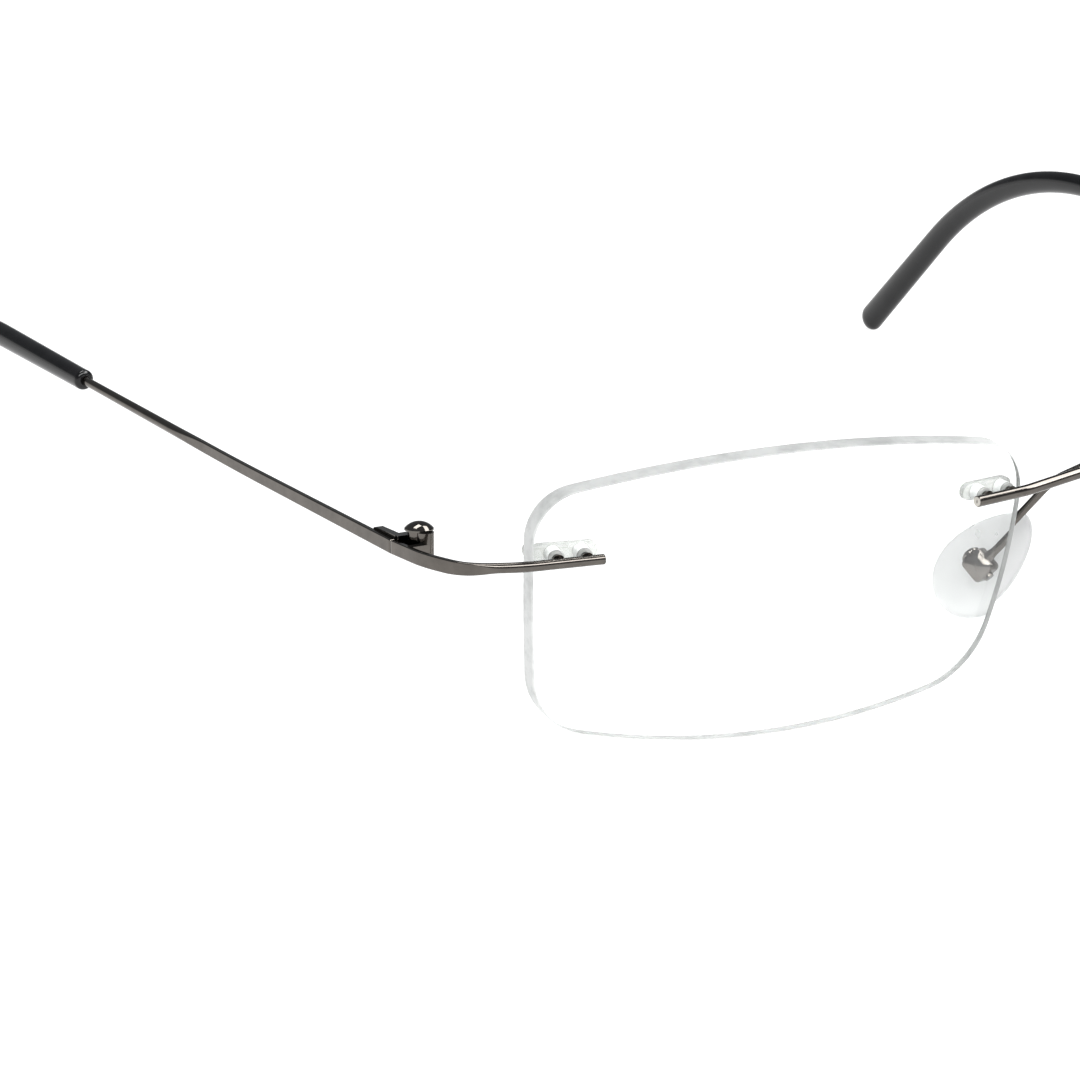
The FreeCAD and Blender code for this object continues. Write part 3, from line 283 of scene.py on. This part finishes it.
def pad_matrix():
    """Right nose pad: X along its screw, Y up the pad, Z from the pad towards its box."""
    splay, frontal, twist = math.radians(30.3), math.radians(8.75), math.radians(42.9)
    boxward = Vector((-math.cos(splay) * math.cos(frontal),
                      -math.sin(splay) * math.cos(frontal), math.sin(frontal)))
    upward = (UP - boxward * UP.dot(boxward)).normalized()
    sideways = upward.cross(boxward)
    long_axis = upward * math.cos(twist) + sideways * math.sin(twist)
    across = long_axis.cross(boxward)
    turn = Matrix((across, long_axis, boxward)).transposed().to_4x4()
    origin = VERTEX + Vector((-8.57 - VERTEX.x, 7.08, -1.7))
    return Matrix.Translation(origin) @ turn


PAD = pad_matrix()


# ---------------------------------------------------------------- mesh helpers

def blend(first, last, fraction):
    """A value between two others, easing in and out."""
    fraction = min(max(fraction, 0.0), 1.0)
    return first + (last - first) * fraction * fraction * (3 - 2 * fraction)


def bent(points, radii, step=0.3):
    """Distance, point and direction along straight runs joined by tangent arcs."""
    stations = []
    start = points[0]
    travelled = 0.0

    def run(end, direction):
        nonlocal travelled
        length = (end - start).length
        count = max(1, math.ceil(length / step))
        for index in range(count):
            part = length * index / count
            stations.append((travelled + part, start + direction * part, direction))
        travelled += length

    for before, corner, after, radius in zip(points, points[1:], points[2:], radii):
        incoming = (corner - before).normalized()
        outgoing = (after - corner).normalized()
        turn = incoming.angle(outgoing)
        reach = radius * math.tan(turn / 2)
        arc_start = corner - incoming * reach
        run(arc_start, incoming)
        inward = (outgoing - incoming * math.cos(turn)).normalized()
        count = max(6, math.ceil(math.degrees(turn) / 2.5), math.ceil(radius * turn / step))
        for index in range(count):
            angle = turn * index / count
            place = (arc_start + incoming * (radius * math.sin(angle))
                     + inward * (radius * (1 - math.cos(angle))))
            direction = incoming * math.cos(angle) + inward * math.sin(angle)
            stations.append((travelled + radius * angle, place, direction))
        travelled += radius * turn
        start = corner + outgoing * reach
    direction = (points[-1] - start).normalized()
    run(points[-1], direction)
    stations.append((travelled, points[-1].copy(), direction))
    return stations


def rounded(width, height, corner):
    """Rounded rectangle as a loop of 44 points, nearly a circle for a large corner."""
    loop = []
    x_side, y_side = width / 2 - corner, height / 2 - corner
    for quarter, (sx, sy) in enumerate(((1, 1), (-1, 1), (-1, -1), (1, -1))):
        for index in range(9):
            angle = math.radians(90 * quarter + 90 * index / 8)
            loop.append((sx * x_side + corner * math.cos(angle),
                         sy * y_side + corner * math.sin(angle)))
        end = loop[-1]
        following = ((-sx, sy) if quarter % 2 == 0 else (sx, -sy))
        angle = math.radians(90 * (quarter + 1))
        target = (following[0] * x_side + corner * math.cos(angle),
                  following[1] * y_side + corner * math.sin(angle))
        for share in (0.06, 0.94):
            loop.append((end[0] + (target[0] - end[0]) * share,
                         end[1] + (target[1] - end[1]) * share))
    return loop


def round_loop(width, height=None, count=44):
    """An ellipse as a loop of points."""
    height = height or width
    angles = [math.tau * i / count for i in range(count)]
    return [(width / 2 * math.cos(a), height / 2 * math.sin(a)) for a in angles]


def ringed(name, rings, slot_name, slots_of=None, look=None):
    """A tube of quads through rings of equal count, in mm, as an object in metres."""
    bm = bmesh.new()
    rows = [[bm.verts.new(Vector(p) * MM) for p in ring] for ring in rings]
    count = len(rows[0])
    for index, (row, following) in enumerate(zip(rows, rows[1:])):
        for i in range(count):
            face = bm.faces.new((row[i], row[(i + 1) % count], following[(i + 1) % count],
                                 following[i]))
            if slots_of:
                face.material_index = slots_of[index]
    bm.faces.new(list(reversed(rows[0])))
    bm.faces.new(rows[-1])
    return finished(name, bm, slot_name, look)


def finished(name, bm, slot_name, look=None):
    """Turn a bmesh into a piece: outward normals, smooth with sharp edges, its material."""
    bmesh.ops.recalc_face_normals(bm, faces=bm.faces)
    for face in bm.faces:
        face.smooth = True
    for edge in bm.edges:
        if len(edge.link_faces) == 2 and edge.calc_face_angle(0) > math.radians(35):
            edge.smooth = False
    mesh = bpy.data.meshes.new(name)
    bm.to_mesh(mesh)
    bm.free()
    obj = bpy.data.objects.new(name, mesh)
    scene.collection.objects.link(obj)
    mesh.materials.append(LOOKS[look or slot_name])
    return obj


def swept(stations, loop_at, across_at=None):
    """Rings of points for each station; round wires carry their frame along the bends."""
    rings = []
    across = None
    for distance, place, direction in stations:
        if across_at:
            across, upright = across_at(direction)
        else:
            across = (direction.cross(UP) if across is None
                      else across - direction * across.dot(direction)).normalized()
            upright = across.cross(direction)
        rings.append([place + across * x + upright * y for x, y in loop_at(distance)])
    return rings


def capped(rings, directions, edge=0.06, slit=None):
    """Rings with a small chamfer at both ends, and a slit in each cut end if asked."""
    def end_rings(ring, inward):
        centre = sum(ring, Vector()) / len(ring)
        quarter = len(ring) // 4
        radius = min((ring[0] - centre).length, (ring[quarter] - centre).length)
        rows = [[p + inward * edge for p in ring],
                [centre + (p - centre) * (1 - edge / radius) for p in ring]]
        if slit:
            along_slit = (ring[quarter] - centre).normalized() * slit[0]
            over_slit = (ring[0] - centre).normalized() * slit[1]
            turns = [math.tau * i / len(ring) for i in range(len(ring))]
            for depth in (0, 0.3):
                rows.append([centre + inward * depth + over_slit * math.cos(a)
                             + along_slit * math.sin(a) for a in turns])
        return rows

    opening = end_rings(rings[0], directions[0])
    closing = end_rings(rings[-1], -directions[1])
    return list(reversed(opening)) + rings[1:-1] + closing


def mirror_of(obj, name):
    """The left-hand twin of a right-hand piece."""
    mesh = obj.data.copy()
    mesh.name = name
    mesh.transform(Matrix.Scale(-1, 4, Vector((1, 0, 0))))
    mesh.flip_normals()
    twin = bpy.data.objects.new(name, mesh)
    scene.collection.objects.link(twin)
    return twin


def both_sides(obj, node, body):
    """Stand in for a right-hand CAD node, and for its left-hand twin."""
    twin = mirror_of(obj, obj.name.replace("right", "left"))
    for side, piece in (("right", obj), ("left", twin)):
        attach(piece, body if body == "front" else f"{side}_{body}")
        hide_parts(f"{side}_{node}")


# ---------------------------------------------------------------- wires

def temple_axes(direction):
    """Axes of a section that stays upright along the temple."""
    across = Vector((1, 0, 0))
    return across, -direction.cross(across)


def endpiece():
    """Wire over the lens, forged into an upright strip that turns back to the seam."""
    start = bar_start("temporal")
    y, z = VERTEX.y, start.z
    stations = bent([start, Vector((-64.15, y + 1.9, z)), Vector((-69.05, y + 4.3, z)),
                     Vector((-TEMPLE_X, y + 9.4, z)), Vector((-TEMPLE_X, y + SEAM_Y, z))],
                    [12.0, 5.0, 15.0])
    forge_start, forge_length, bar = 10.2, 5.5, 1.0
    width_pace, corner_pace = 1.5, 2
    rings = []
    for distance, place, direction in stations:
        fraction = (distance - forge_start) / forge_length
        loop = rounded(blend(bar, STRIP_WIDTH, fraction * width_pace),
                       blend(bar, STRIP_HEIGHT, fraction),
                       blend(bar * NEARLY_ROUND, STRIP_CORNER, fraction * corner_pace))
        across = direction.cross(UP).normalized()
        centre = place - UP * blend(0, STRIP_DROP, fraction * width_pace)
        rings.append([centre + across * a + UP * b for a, b in loop])
    rings = capped(rings, (stations[0][2], stations[-1][2]), 0.05, slit=(0.16, 0.05))
    return ringed("right_endpiece_wire", rings, "gunmetal")


def temple_stations():
    """Path of the temple from its seam, rising gently, then down behind the ear."""
    front = Vector((-TEMPLE_X, VERTEX.y + SEAM_Y + SEAM_GAP,
                    bar_start("temporal").z - STRIP_DROP))
    first_run, first_slope, slope, gentle_radius = 30.0, 0.046, 0.0627, 600.0
    ear_start, ear_radius, ear_angle = 80.0, 45.0, math.radians(42.0)
    turn = math.atan(slope) + ear_angle
    corner_run = ear_start + ear_radius * math.tan(turn / 2)
    rise = first_run * first_slope
    corner = front + Vector((0, corner_run, rise + (corner_run - first_run) * slope))
    drop = corner.z - COVER_END_HEIGHT / 2
    end = corner + Vector((0, drop / math.tan(ear_angle), -drop))
    return bent([front, front + Vector((0, first_run, rise)), corner, end],
                [gentle_radius, ear_radius], 0.5)


def temple_loop(distance):
    """Section of the temple: a strip that gets lower, then a forged change to round wire."""
    if distance < STRIP_LENGTH:
        height = STRIP_HEIGHT + distance / STRIP_LENGTH * (STRIP_END_HEIGHT - STRIP_HEIGHT)
        return rounded(STRIP_WIDTH, height, STRIP_CORNER)
    fraction = (distance - STRIP_LENGTH) / FORGE_LENGTH
    tapered = min(max((distance - STRIP_LENGTH - FORGE_LENGTH) / TAPER_LENGTH, 0), 1)
    wire = WIRE_START + tapered * (WIRE_END - WIRE_START)
    return rounded(blend(STRIP_WIDTH, wire, fraction), blend(STRIP_END_HEIGHT, wire, fraction),
                   blend(STRIP_CORNER, NEARLY_ROUND * wire, fraction))


def temple():
    """Temple strip and wire, ending a little way inside the tip cover."""
    hidden_end = 8.0
    stations = [s for s in temple_stations() if s[0] < COVER_START + hidden_end]
    rings = swept(stations, temple_loop, temple_axes)
    rings = capped(rings, (stations[0][2], stations[-1][2]), 0.04)
    return ringed("right_temple_wire", rings, "gunmetal")


def tip_cover():
    """Black cover: a bore with a rounded mouth, a growing oval, and a domed end."""
    stations = temple_stations()
    total = stations[-1][0]
    mouth, heading = next((p - d * (t - COVER_START), d) for t, p, d in stations
                          if t >= COVER_START)
    mouth_round, first_full, dome = 0.5, 0.6, 1.6

    def ring(centre, heading, width, height):
        across, upright = temple_axes(heading)
        return [centre + across * x + upright * y for x, y in round_loop(width, height, 48)]

    def outside(distance, centre, heading, lost=0.0):
        share = (distance - COVER_START) / (total - COVER_START)
        width = COVER_MOUTH + (COVER_END_WIDTH - COVER_MOUTH) * share
        height = COVER_MOUTH + (COVER_END_HEIGHT - COVER_MOUTH) * share
        return ring(centre, heading, width - 2 * lost, height - 2 * lost)

    rings = [ring(mouth + heading * depth, heading, bore, bore)
             for depth, bore in ((0.8, 0.92), (0.02, 0.95))]
    for index in range(9):
        angle = math.radians(90 * index / 8)
        back = mouth_round * (1 - math.cos(angle))
        rings.append(outside(COVER_START + back, mouth + heading * back, heading,
                             mouth_round * (1 - math.sin(angle))))
    rings += [outside(*s) for s in stations if s[0] > COVER_START + first_full]
    _, end, heading = stations[-1]
    for index in range(1, 13):
        angle = math.radians(88 * index / 12)
        rings.append(ring(end + heading * (dome * math.sin(angle)), heading,
                          COVER_END_WIDTH * math.cos(angle), COVER_END_HEIGHT * math.cos(angle)))
    return ringed("right_tip_cover", rings, "tip_black")


def bridge():
    """Round wire over both lenses, arched across the nose, with bright slit ends."""
    start = bar_start("nasal")
    y = VERTEX.y
    half = [start, Vector((-9.0, y - 0.85, start.z + 0.1)),
            Vector((-2.4, y - BRIDGE_FORWARD, start.z + BRIDGE_RISE))]
    points = half + [Vector((-p.x, p.y, p.z)) for p in reversed(half)]
    bend_radius = 9.0
    stations = bent(points, [bend_radius] * 4)
    rings = swept(stations, lambda _: round_loop(BRIDGE_WIRE))
    rings = capped(rings, (stations[0][2], stations[-1][2]), 0.07, slit=(0.19, 0.06))
    cut_rows = (1, len(rings) - 3)
    cut = [int(i in cut_rows) for i in range(len(rings) - 1)]
    obj = ringed("bridge_wire", rings, "gunmetal", slots_of=cut)
    obj.data.materials.append(LOOKS["cut_end"])
    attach(obj, "front")
    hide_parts("bridge_bar")


def pad_arm():
    """Wire brazed behind the bridge, out and down to the top of the pad's box."""
    crest = bar_start("nasal").z + BRIDGE_RISE
    behind = VERTEX.y - BRIDGE_FORWARD + 0.78
    top = Vector((0.1, 1.25, 2.2))
    points = [Vector((-0.5, behind, crest + 0.6)), Vector((-5.3, behind, crest - 0.6)),
              PAD @ (top + Vector((0, 1.25, 0))), PAD @ (top - Vector((0, 0.2, 0)))]
    stations = bent(points, [3.0, 0.7], 0.2)
    total = stations[-1][0]
    wire, foot, foot_length = 0.8, 0.35, 1.1

    def section(distance):
        return round_loop(wire + foot * blend(0, 1, 1 - (total - distance) / foot_length))

    rings = swept(stations, section)
    rings = capped(rings, (stations[0][2], stations[-1][2]), 0.05)
    return ringed("right_arm_wire", rings, "gunmetal")


# ---------------------------------------------------------------- lens

def corner_centre(first, first_reach, second, second_reach, quadrant):
    """Centre of the corner arc that touches two sides from inside."""
    between = second - first
    spread = between.length
    along = (first_reach ** 2 - second_reach ** 2 + spread ** 2) / (2 * spread)
    off = math.sqrt(first_reach ** 2 - along ** 2)
    unit = between / spread
    base = first + unit * along
    normal = Vector((-unit.y, unit.x)) * off
    return next(c for c in (base + normal, base - normal)
                if c.x * quadrant.x > 0 and c.y * quadrant.y > 0)


def lens_outline(inset=0.0):
    """Points round the lens, from four convex sides and four tangent corners."""
    w, d = LENS_WIDTH / 2, LENS_DEPTH / 2
    sides = ((Vector((-1.9, d - 107.4)), 107.4), (Vector((w - 69.8, 10.3)), 69.8),
             (Vector((1.1, 98.9 - d)), 98.9), (Vector((148.2 - w, 13.2)), 148.2))
    corners = (6.0, 7.9, 7.3, 5.1)
    quadrants = (Vector((1, 1)), Vector((1, -1)), Vector((-1, -1)), Vector((-1, 1)))
    centres = [corner_centre(sides[i][0], sides[i][1] - corners[i], sides[(i + 1) % 4][0],
                             sides[(i + 1) % 4][1] - corners[i], quadrants[i]) for i in range(4)]
    points = []

    def arc(centre, radius, start, end, step):
        if end < start:
            end += math.tau
        count = max(2, math.ceil(radius * (end - start) / step))
        for i in range(count):
            angle = start + (end - start) * i / count
            points.append(centre + Vector((math.cos(angle), math.sin(angle))) * (radius - inset))

    def angle_of(vector):
        return math.atan2(vector.y, vector.x)

    for i in (0, 3, 2, 1):
        centre, radius = sides[i]
        arc(centre, radius, angle_of(centres[i] - centre), angle_of(centres[i - 1] - centre), 0.8)
        arc(centres[i - 1], corners[i - 1], angle_of(centres[i - 1] - centre),
            angle_of(centres[i - 1] - sides[i - 1][0]), 0.35)
    return points


def inside(point, outline, margin):
    """True when a point lies within a convex outline by a margin."""
    count = len(outline)
    for i in range(count):
        a, b = outline[i], outline[(i + 1) % count]
        edge = b - a
        if (edge.x * (point.y - a.y) - edge.y * (point.x - a.x)) / edge.length < margin:
            return False
    return True


def lens():
    """Clear lens: two spherical faces, drilled holes, and a ground edge with small bevels."""
    outline, inner = lens_outline(), lens_outline(LENS_BEVEL)
    count = len(outline)
    back_radius = FRONT_RADIUS - LENS_THICKNESS
    holes = []
    for name, (u, v) in MOUNTS.items():
        normal = Vector((u, v, math.sqrt(FRONT_RADIUS ** 2 - u ** 2 - v ** 2))).normalized()
        level = (LENS.to_3x3().transposed() @ UP).cross(normal).normalized()
        upright = normal.cross(level)
        for side in (-0.5, 0.5):
            holes.append((Vector((u, v, normal.z * FRONT_RADIUS - FRONT_RADIUS))
                          + level * (side * POST_PITCH[name]), normal, level, upright))
    ring_count = 24

    def face_z(point, radius):
        return math.sqrt(radius ** 2 - point.x ** 2 - point.y ** 2) - FRONT_RADIUS

    def hole_ring(hole, radius):
        centre, normal, level, upright = hole
        ring = []
        for i in range(ring_count):
            angle = math.tau * i / ring_count
            p = centre + (level * math.cos(angle) + upright * math.sin(angle)) * (POST_HOLE / 2)
            p = p + normal * ((face_z(p, radius) - p.z) / normal.z)
            ring.append(p.xy)
        return ring

    bm = bmesh.new()
    place = Matrix.Scale(MM, 4) @ LENS

    def surface(radius):
        """One spherical face with fine triangles; returns its rim and hole vertices."""
        rings = [inner] + [hole_ring(h, radius) for h in holes]
        flat = [p for ring in rings for p in ring]
        edges, start = [], 0
        for ring in rings:
            edges += [(start + i, start + (i + 1) % len(ring)) for i in range(len(ring))]
            start += len(ring)
        middles = [sum(ring, Vector((0, 0))) / ring_count for ring in rings[1:]]
        spacing, row_share, hole_margin, rim_margin = 1.7, 0.87, 0.35, 0.6
        for row in range(-9, 10):
            for column in range(-17, 18):
                p = Vector(((column + 0.5 * (row % 2)) * spacing, row * spacing * row_share))
                near_hole = min((p - m).length for m in middles) < POST_HOLE / 2 + hole_margin
                if not near_hole and inside(p, inner, rim_margin):
                    flat.append(p)
        points, _, faces, _, _, _ = delaunay_2d_cdt(flat, edges, [], 0, 1e-5)
        made = [bm.verts.new(place @ Vector((p.x, p.y, face_z(p, radius)))) for p in points]
        for face in faces:
            middle = sum((points[i] for i in face), Vector((0, 0))) / 3
            in_hole = min((middle - m).length for m in middles) < POST_HOLE / 2 - 0.01
            if inside(middle, inner, 0) and not in_hole:
                bm.faces.new([made[i] for i in face])
        return made, [len(ring) for ring in rings]

    front, sizes = surface(FRONT_RADIUS)
    back, _ = surface(back_radius)

    def band(first, second, slot):
        for i in range(len(first)):
            j = (i + 1) % len(first)
            bm.faces.new((first[i], first[j], second[j], second[i])).material_index = slot

    walls = []
    for radius, sign in ((FRONT_RADIUS, -1), (back_radius, 1)):
        walls.append([bm.verts.new(place @ Vector((p.x, p.y, face_z(p, radius)
                                                   + sign * LENS_BEVEL))) for p in outline])
    band(front[:count], walls[0], 1)
    band(walls[0], walls[1], 1)
    band(walls[1], back[:count], 1)
    start = count
    for size in sizes[1:]:
        band(front[start:start + size], back[start:start + size], 2)
        start += size
    obj = finished("right_lens_shaped", bm, "lens_clear")
    obj.data.materials.append(LOOKS["lens_rim"])
    obj.data.materials.append(LOOKS["lens_hole"])
    return obj


# ---------------------------------------------------------------- nose pad and its box

def nose_pad():
    """Egg-shaped silicone pad, crowned towards the nose, with a soft edge at its back."""
    length, width, egg = 13.0, 7.8, 0.21
    heights = [(-math.sin(math.radians(a)), 3.0, 1.0) for a in range(84, 0, -7)]
    heights += [(math.sin(math.radians(a)), 5.0, 0.75) for a in range(0, 85, 7)]
    rings = []
    for share, power, depth in heights:
        scale = (1 - abs(share) ** power) ** (1 / power)
        ring = []
        for i in range(72):
            angle = math.tau * i / 72
            across = width / 2 * math.sin(angle) * (1 + egg * math.cos(angle))
            ring.append(PAD @ Vector((across * scale, -length / 2 * math.cos(angle) * scale,
                                      share * depth)))
        rings.append(ring)
    return ringed("right_silicone_pad", rings, "silicone_clear")


def pad_box():
    """Small pressed box: a rounded plate in front, hollow towards the pad."""
    centre = Vector((0.1, 0, 0))
    half_x, half_y, base, top, corner = 1.3, 1.25, 1.35, 3.1, 0.45
    rings = []

    def ring(inset, height, radius):
        loop = rounded(2 * (half_x - inset), 2 * (half_y - inset), max(radius, 0.03))
        return [PAD @ (centre + Vector((x, y, height))) for x, y in loop]

    rings.append(ring(0.4, top - 0.35, 0.1))
    rings.append(ring(0.4, base + 0.05, 0.1))
    rings.append(ring(0.35, base, 0.15))
    rings.append(ring(0.05, base, corner))
    rings.append(ring(0.0, base + 0.05, corner))
    dome, reach, round_off = 0.36, 1.24, 0.12
    for index in range(5):
        angle = math.radians(90 * index / 4)
        rings.append(ring(round_off * (1 - math.cos(angle)),
                          top - dome - round_off * (1 - math.sin(angle)), corner))
    for index in range(1, 15):
        share = index / 15
        rings.append(ring(round_off + (reach - round_off) * share,
                          top - dome * (1 - share) ** 2, corner * (1 - share)))
    return ringed("right_pressed_box", rings, "gunmetal", look="gunmetal_pressed")


WIRES = ((endpiece, "endpiece", "front", "gunmetal"), (temple, "temple", "temple_side", "gunmetal"),
         (tip_cover, "temple_tip", "temple_side", "tip_black"),
         (pad_arm, "pad_arm", "front", "gunmetal"), (lens, "lens", "front", "lens_clear"),
         (nose_pad, "nose_pad", "pad_side", "silicone_clear"),
         (pad_box, "pad_box", "front", "gunmetal"))
bridge()
for make, node, body, slot_name in WIRES:
    both_sides(make(), node, body)


# ---------------------------------------------------------------- stage

def floor():
    """White floor with a glow of its own, as a lit table has."""
    mesh = bpy.data.meshes.new("floor")
    reach = 6.0
    mesh.from_pydata([(-reach, -reach, 0), (reach, -reach, 0), (reach, reach, 0),
                      (-reach, reach, 0)], [], [(0, 1, 2, 3)])
    obj = bpy.data.objects.new("floor", mesh)
    scene.collection.objects.link(obj)
    t = Tree("floor_white")
    place = t.position()
    shader = t.node("BsdfPrincipled", {
        "Base Color": t.ramp(t.noise(place, 3.0), (0.19, 0.19, 0.19), (0.21, 0.21, 0.21)),
        "Roughness": 0.9, "Specular IOR Level": 0.1,
        "Emission Color": (1, 1, 1, 1), "Emission Strength": 0.93})
    mesh.materials.append(t.surface(shader.outputs[0]))


def softbox(name, azimuth, elevation, distance, width, height, radiance, upright=UP):
    """An area lamp that faces the glasses, with its height along a chosen direction."""
    lamp = bpy.data.lights.new(name, "AREA")
    lamp.shape = "RECTANGLE"
    lamp.size, lamp.size_y = width, height
    lamp.energy = radiance * math.pi * width * height
    obj = bpy.data.objects.new(name, lamp)
    scene.collection.objects.link(obj)
    a, e = math.radians(azimuth), math.radians(elevation)
    out = Vector((math.sin(a) * math.cos(e), -math.cos(a) * math.cos(e), math.sin(e)))
    side = upright.cross(out).normalized()
    turn = Matrix((side, out.cross(side), out)).transposed().to_4x4()
    obj.matrix_world = Matrix.Translation(out * distance) @ turn


def studio():
    """White round the horizon, as in a light tent, and dim overhead."""
    world = bpy.data.worlds.new("studio")
    scene.world = world
    world.use_nodes = True
    tree = world.node_tree
    direction = tree.nodes.new("ShaderNodeTexCoord")
    split = tree.nodes.new("ShaderNodeSeparateXYZ")
    ramp = tree.nodes.new("ShaderNodeValToRGB")
    ramp.color_ramp.elements[0].position = 0.08
    ramp.color_ramp.elements[0].color = (1.0, 1.0, 1.0, 1)
    ramp.color_ramp.elements[1].position = 0.2
    ramp.color_ramp.elements[1].color = (0.2, 0.21, 0.22, 1)
    tree.links.new(direction.outputs["Generated"], split.inputs[0])
    tree.links.new(split.outputs["Z"], ramp.inputs["Fac"])
    tree.links.new(ramp.outputs["Color"], tree.nodes["Background"].inputs["Color"])


floor()
studio()
softbox("key_softbox", -8, 48, 1.6, 2.6, 0.5, 8.5)
softbox("top_softbox", 190, 77, 1.6, 0.9, 0.5, 8.5)
softbox("strip_softbox", 64, 55, 1.6, 0.6, 1.3, 8.5, Vector((0, 0.966, 0.259)))

CAMERA_FROM_LENS = Vector((-0.32237, -0.48268, 0.15847))
CAMERA_AZIMUTH, CAMERA_ELEVATION = math.radians(31.40), math.radians(14.77)
camera_data = bpy.data.cameras.new("camera")
camera_data.sensor_width = 36.0
camera_data.lens = 212.1
camera_data.clip_start = 0.01
camera = bpy.data.objects.new("camera", camera_data)
scene.collection.objects.link(camera)
camera.location = VERTEX * MM + CAMERA_FROM_LENS
forward = Vector((math.sin(CAMERA_AZIMUTH) * math.cos(CAMERA_ELEVATION),
                  math.cos(CAMERA_AZIMUTH) * math.cos(CAMERA_ELEVATION),
                  -math.sin(CAMERA_ELEVATION)))
camera.rotation_euler = forward.to_track_quat("-Z", "Y").to_euler()
scene.camera = camera
scene.view_settings.view_transform = "Standard"
bounces = 16
scene.cycles.max_bounces = bounces
scene.cycles.transmission_bounces = bounces
scene.cycles.transparent_max_bounces = bounces
